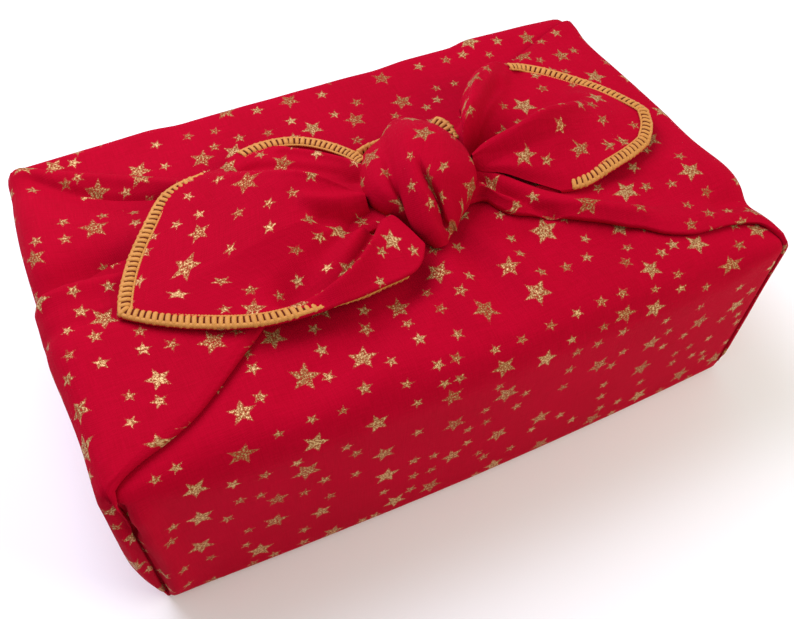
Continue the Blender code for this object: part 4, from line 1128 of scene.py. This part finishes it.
def overlock_tree():
    """Satin ribs across the hem over its core, which is marked for the painted shade that shows between the
    ribs, a cord along its outer edge and a chain of fine loops along its inner line."""
    tree = bpy.data.node_groups.new("Overlock edging", "GeometryNodeTree")
    tree.interface.new_socket("Geometry", in_out="INPUT", socket_type="NodeSocketGeometry")
    for title in EDGING_SIZES:
        tree.interface.new_socket(title, in_out="INPUT", socket_type="NodeSocketFloat")
    tree.interface.new_socket("Seed", in_out="INPUT", socket_type="NodeSocketInt")
    tree.interface.new_socket("Thread", in_out="INPUT", socket_type="NodeSocketMaterial")
    tree.interface.new_socket("Geometry", in_out="OUTPUT", socket_type="NodeSocketGeometry")
    given = node(tree, "NodeGroupInput").outputs

    def made(kind, inputs=None, **settings):
        """The first output of a new node of the tree."""
        return node(tree, kind, inputs, **settings).outputs[0]

    line = made("GeometryNodeMeshToCurve", {0: given["Geometry"]})
    inward = made("GeometryNodeInputNamedAttribute", {"Name": "inward"}, data_type="FLOAT_VECTOR")
    facing = made("FunctionNodeAxesToRotation", {0: made("GeometryNodeInputTangent"), 1: inward},
                  primary_axis="Z", secondary_axis="X")

    def share_of(title, share):
        return maths(tree, "MULTIPLY", given[title], share)

    def less(title, other):
        return maths(tree, "SUBTRACT", given[title], given[other])

    def along(spacing):
        return made("GeometryNodeResampleCurve", {"Curve": line, "Length": spacing}, mode="LENGTH")

    def sized(shape, *size):
        return made("GeometryNodeTransform",
                    {"Geometry": shape, "Scale": made("ShaderNodeCombineXYZ", dict(enumerate(size)))})

    def ring(sides, width, thickness):
        """An oval round the hem, in the XY plane."""
        circle = made("GeometryNodeCurvePrimitiveCircle", {"Resolution": sides, "Radius": 0.5})
        return sized(circle, width, thickness, 1.0)

    def moved(curve, way_in):
        """The curve, that far inwards of the hem's middle."""
        offset = made("ShaderNodeVectorMath", {0: inward, "Scale": way_in}, operation="SCALE")
        return made("GeometryNodeSetPosition", {"Geometry": curve, "Offset": offset})

    def tube(curve, profile):
        return made("GeometryNodeCurveToMesh", {0: curve, 1: profile, "Fill Caps": True})

    def uneven(low, high, seed_step):
        seed = maths(tree, "ADD", given["Seed"], seed_step)
        return node(tree, "FunctionNodeRandomValue", {2: low, 3: high, "Seed": seed},
                    data_type="FLOAT").outputs[1]

    thread = ring(THREAD_SIDES, given["Rib thickness"], share_of("Rib thickness", RIB_FLATNESS))
    rib_ring = ring(RIB_SIDES, less("Width", "Rib thickness"), less("Thickness", "Rib thickness"))
    rib = made("GeometryNodeCurveToMesh", {0: rib_ring, 1: thread})
    spread = given["Unevenness"]
    slant = maths(tree, "ADD", given["Slant"], uneven(maths(tree, "MULTIPLY", spread, -1.0), spread, 1))
    slant = made("FunctionNodeEulerToRotation", {0: made("ShaderNodeCombineXYZ", {1: slant})})
    turned = made("FunctionNodeRotateRotation", {0: facing, 1: slant}, rotation_space="LOCAL")
    size = uneven(maths(tree, "SUBTRACT", 1.0, spread), maths(tree, "ADD", 1.0, spread), 2)
    ribs = made("GeometryNodeInstanceOnPoints",
                {"Points": along(given["Rib spacing"]), "Instance": rib, "Rotation": turned, "Scale": size})

    fine_line = along(share_of("Rib spacing", CORE_STEP))
    core_line = made("GeometryNodeSetCurveNormal", {0: fine_line, "Normal": inward}, mode="FREE")
    core_width, core_thickness = CORE_SHARE
    core = tube(core_line, ring(CORE_SIDES, share_of("Width", core_width),
                                share_of("Thickness", core_thickness)))
    # mark the core for the painted shade between the ribs
    core = made("GeometryNodeStoreNamedAttribute", {"Geometry": core, "Name": "shaded_core", "Value": 1.0},
                data_type="FLOAT", domain="POINT")
    outer = maths(tree, "MULTIPLY", less("Width", "Cord thickness"), -CORD_OUT)
    cord = tube(moved(fine_line, outer), ring(CORE_SIDES, given["Cord thickness"], given["Cord thickness"]))

    loop = made("GeometryNodeMeshUVSphere", {"Segments": THREAD_SIDES, "Rings": LOOP_RINGS, "Radius": 0.5})
    loop = sized(loop, given["Chain thickness"], given["Chain thickness"],
                 share_of("Chain spacing", LOOP_OVERLAP))
    chain_line = moved(along(given["Chain spacing"]), share_of("Width", 0.5))
    chain = made("GeometryNodeInstanceOnPoints", {"Points": chain_line, "Instance": loop, "Rotation": facing})

    joined = node(tree, "GeometryNodeJoinGeometry")
    for part in (ribs, core, cord, chain):
        tree.links.new(part, joined.inputs[0])
    whole = made("GeometryNodeRealizeInstances", {0: joined.outputs[0]})
    node(tree, "NodeGroupOutput", {0: made("GeometryNodeSetMaterial",
                                           {"Geometry": whole, "Material": given["Thread"]})})
    return tree


def set_inputs(modifier, values):
    """Gives a Geometry Nodes modifier its inputs by their sockets' identifiers."""
    for item in modifier.node_group.interface.items_tree:
        if item.in_out == "INPUT" and item.name in values:
            modifier[item.identifier] = values[item.name]


def made_mesh(guide, name):
    """What the modifiers make of the guide, as a plain object at the origin."""
    depsgraph = bpy.context.evaluated_depsgraph_get()
    mesh = bpy.data.meshes.new_from_object(guide.evaluated_get(depsgraph), depsgraph=depsgraph)
    mesh.name = name
    bpy.data.objects.remove(guide)
    mesh.shade_smooth()
    made = bpy.data.objects.new(name, mesh)
    bpy.context.scene.collection.objects.link(made)
    return made


# ---- Settings and operators ----------------------------------------------------------------------
def colour(name, description, default):
    return FloatVectorProperty(name=name, description=description, subtype="COLOR", default=default,
                               min=0, max=1)


def length(name, description, default, least):
    return FloatProperty(name=name, description=description, unit="LENGTH", default=default, min=least)


def power(name, description, default):
    return FloatProperty(name=name, description=description, unit="POWER", default=default, min=0)


class ClothSettings(bpy.types.PropertyGroup):
    """Sizes and colours of the printed cotton"""

    red_deep: colour("Deep red", "The cotton's darker tone", (0.33, 0.0, 0.0105))
    red_light: colour("Light red", "The cotton's lighter tone", (0.62, 0.0, 0.030))
    foil_deep: colour("Deep gold", "The print's darker tone", (0.22, 0.085, 0.018))
    foil_light: colour("Light gold", "The print's lighter tone", (0.72, 0.46, 0.21))
    big_pitch: length("Large star pitch", "Mean way from one large star to the next", 0.0215, 0.005)
    big_radius: length("Large star radius", "From a large star's centre to its tips", 0.0048, 0.001)
    small_pitch: length("Small star pitch", "Mean way from one small star to the next", 0.0102, 0.003)
    small_radius: length("Small star radius", "From a small star's centre to its tips", 0.0024, 0.0005)
    notch: FloatProperty(name="Star notch", description="A star's inner radius as a share of its outer one",
                         default=0.46, min=0.2, max=0.9)
    weave_pitch: length("Weave pitch", "Width of two threads of the plain weave", 0.0007, 0.0001)


class EdgingSettings(bpy.types.PropertyGroup):
    """Sizes and colours of the overlock edging"""

    thread_deep: colour("Deep gold", "The thread's darker tone", (0.40, 0.15, 0.03))
    thread_light: colour("Light gold", "The thread's lighter tone", (0.76, 0.36, 0.095))
    width: length("Width", "Width of the edging across the hem", 0.0048, 0.001)
    thickness: length("Thickness", "Thickness of the covered hem", 0.0026, 0.001)
    rib_spacing: length("Rib spacing", "From one satin rib to the next", 0.0021, 0.0005)
    rib_thickness: length("Rib thickness", "Thickness of a satin rib", 0.0011, 0.0002)
    cord_thickness: length("Cord thickness", "Thickness of the cord on the outer edge", 0.0018, 0.0002)
    chain_spacing: length("Chain spacing", "Length of one loop of the inner chain", 0.00105, 0.0003)
    chain_thickness: length("Chain thickness", "Thickness of the inner chain", 0.0009, 0.0001)
    slant: FloatProperty(name="Slant", description="How far the ribs lean along the hem", subtype="ANGLE",
                         default=0.16)
    unevenness: FloatProperty(name="Unevenness", description="How much the ribs differ in size and slant",
                              default=0.07, min=0, max=0.5)
    seed: IntProperty(name="Seed", description="Changes which ribs are larger", default=7)


class StageSettings(bpy.types.PropertyGroup):
    """Floor, camera and light"""

    floor_colour: colour("Floor", "Colour of the plain floor", (0.97, 0.97, 0.97))
    key_power: power("Key light", "Power of the large soft light behind the wrap", 3.4)
    fill_power: power("Fill light", "Power of the light in front of it", 3.2)
    surround: FloatProperty(name="Surround", description="Strength of the light from all round",
                            default=0.50, min=0)


class WRAP_OT_stage(bpy.types.Operator):
    """Make the floor, the lights and the camera"""

    bl_idname = "wrap.stage"
    bl_label = "Stage"

    def execute(self, context):
        settings = context.scene.wrap_stage
        add_floor(settings)
        add_lights(settings)
        add_camera(context.scene)
        return {"FINISHED"}


class WRAP_OT_cloth(bpy.types.Operator):
    """Make the printed cloth on its folds"""

    bl_idname = "wrap.cloth"
    bl_label = "Printed cloth"

    def execute(self, context):
        cloth = Cloth()
        add_body(cloth)
        add_hidden_layers(cloth)
        add_panel(cloth, "left panel", LEFT_FOLDS, -1, LEFT_KNOT_X)
        add_panel(cloth, "right panel", RIGHT_FOLDS, 1, RIGHT_KNOT_X)
        add_tail(cloth, "left tail", LEFT_TAIL, LEFT_ROOT, LEFT_CORNERS)
        add_tail(cloth, "right tail", RIGHT_TAIL, RIGHT_ROOT, RIGHT_CORNERS)
        add_knot(cloth)
        made = cloth.build("wrap_cloth")
        made.data.materials.append(printed_cotton(context.scene.wrap_cloth))
        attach(made, "root")
        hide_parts("cloth")
        return {"FINISHED"}


class WRAP_OT_edging(bpy.types.Operator):
    """Make the gold overlock edging on the tied ends"""

    bl_idname = "wrap.edging"
    bl_label = "Overlock edging"

    def execute(self, context):
        settings = context.scene.wrap_edging
        inputs = {title: getattr(settings, title.lower().replace(" ", "_")) for title in EDGING_SIZES}
        inputs.update({"Seed": settings.seed, "Thread": overlock_thread(settings)})
        tree = overlock_tree()
        for name, (cad_node, strip) in EDGINGS.items():
            lines = [hem_line(strip, settings.width)]
            if name in HEM_BITS:
                lines.append(hem_bit(*HEM_BITS[name]))
            guide = bpy.data.objects.new(name + "_guide", guide_mesh(name, lines))
            context.scene.collection.objects.link(guide)
            modifier = guide.modifiers.new("Overlock", "NODES")
            modifier.node_group = tree
            set_inputs(modifier, inputs)
            made = made_mesh(guide, name)
            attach(made, "root")
            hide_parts(cad_node)
        return {"FINISHED"}


class WRAP_OT_declare(bpy.types.Operator):
    """Does nothing: the cloth's cut size and the pieces sewn on it are not stated here"""

    bl_idname = "wrap.declare"
    bl_label = "State the cut"

    def execute(self, context):
        return {"FINISHED"}


class WRAP_PT_sidebar(bpy.types.Panel):
    """The wrap's settings and the buttons that make it"""

    bl_idname = "WRAP_PT_sidebar"
    bl_label = "Furoshiki wrap"
    bl_space_type = "VIEW_3D"
    bl_region_type = "UI"
    bl_category = "Furoshiki"

    def draw(self, context):
        for group in (context.scene.wrap_cloth, context.scene.wrap_edging, context.scene.wrap_stage):
            column = self.layout.column(align=True)
            for name in group.__annotations__:
                column.prop(group, name)
        for operator in OPERATORS:
            self.layout.operator(operator.bl_idname)


# ---- Stage ---------------------------------------------------------------------------------------
def add_floor(settings):
    mesh = bpy.data.meshes.new("floor")
    ends = ((-FLOOR_REACH, -FLOOR_REACH), (FLOOR_REACH, -FLOOR_REACH), (FLOOR_REACH, FLOOR_REACH),
            (-FLOOR_REACH, FLOOR_REACH))
    mesh.from_pydata([(x, y, -FLOOR_DROP) for x, y in ends], [], [(0, 1, 2, 3)])
    floor = bpy.data.objects.new("floor", mesh)
    bpy.context.scene.collection.objects.link(floor)
    made, _, shader = new_material("plain floor")
    shader.inputs["Base Color"].default_value = (*settings.floor_colour, 1.0)
    shader.inputs["Roughness"].default_value = FLOOR_ROUGHNESS
    shader.inputs["Specular IOR Level"].default_value = FLOOR_SPECULAR
    mesh.materials.append(made)


def way_to(azimuth, elevation):
    """The direction from the wrap to a light or camera. Azimuth 0 is in front, 90 to the right."""
    a, e = math.radians(azimuth), math.radians(elevation)
    return Vector((math.sin(a) * math.cos(e), -math.cos(a) * math.cos(e), math.sin(e)))


def add_area_light(name, light, watts):
    """A soft square light aimed at the wrap."""
    way = way_to(light.azimuth, light.elevation)
    lamp = bpy.data.lights.new(name, "AREA")
    lamp.size = light.size
    lamp.energy = watts
    lamp.color = light.tint
    placed = bpy.data.objects.new(name, lamp)
    placed.location = Vector(CENTRE) + way * light.distance
    placed.rotation_euler = (-way).to_track_quat("-Z", "Y").to_euler()
    bpy.context.scene.collection.objects.link(placed)


def add_lights(settings):
    bpy.context.scene.view_settings.view_transform = "Standard"   # the photo's plain, clear colours
    add_area_light("key light", KEY_LIGHT, settings.key_power)
    add_area_light("fill light", FILL_LIGHT, settings.fill_power)
    world = bpy.data.worlds.new("surround")
    world.use_nodes = True
    sky = world.node_tree.nodes["Background"]
    sky.inputs["Color"].default_value = SURROUND_COLOUR
    sky.inputs["Strength"].default_value = settings.surround
    bpy.context.scene.world = world


def add_camera(scene):
    back = way_to(CAMERA_AZIMUTH, CAMERA_ELEVATION)
    right = way_to(CAMERA_AZIMUTH + 90, 0)
    up = back.cross(right)
    turn = Matrix((right, up, back)).transposed() @ Matrix.Rotation(math.radians(CAMERA_ROLL), 3, "Z")
    lens = bpy.data.cameras.new("camera")
    lens.lens = CAMERA_LENS
    lens.sensor_width = CAMERA_SENSOR
    camera = bpy.data.objects.new("camera", lens)
    camera.matrix_world = Matrix.Translation(CAMERA_PLACE) @ turn.to_4x4()
    scene.collection.objects.link(camera)
    scene.camera = camera


OPERATORS = (WRAP_OT_stage, WRAP_OT_cloth, WRAP_OT_edging, WRAP_OT_declare)
CLASSES = (ClothSettings, EdgingSettings, StageSettings, *OPERATORS, WRAP_PT_sidebar)


def register():
    for made in CLASSES:
        bpy.utils.register_class(made)
    bpy.types.Scene.wrap_cloth = PointerProperty(type=ClothSettings)
    bpy.types.Scene.wrap_edging = PointerProperty(type=EdgingSettings)
    bpy.types.Scene.wrap_stage = PointerProperty(type=StageSettings)


def unregister():
    del bpy.types.Scene.wrap_stage
    del bpy.types.Scene.wrap_edging
    del bpy.types.Scene.wrap_cloth
    for made in reversed(CLASSES):
        bpy.utils.unregister_class(made)


def main():
    register()
    bpy.ops.wrap.stage()
    bpy.ops.wrap.cloth()
    bpy.ops.wrap.edging()
    bpy.ops.wrap.declare()


if __name__ == "__main__":
    main()
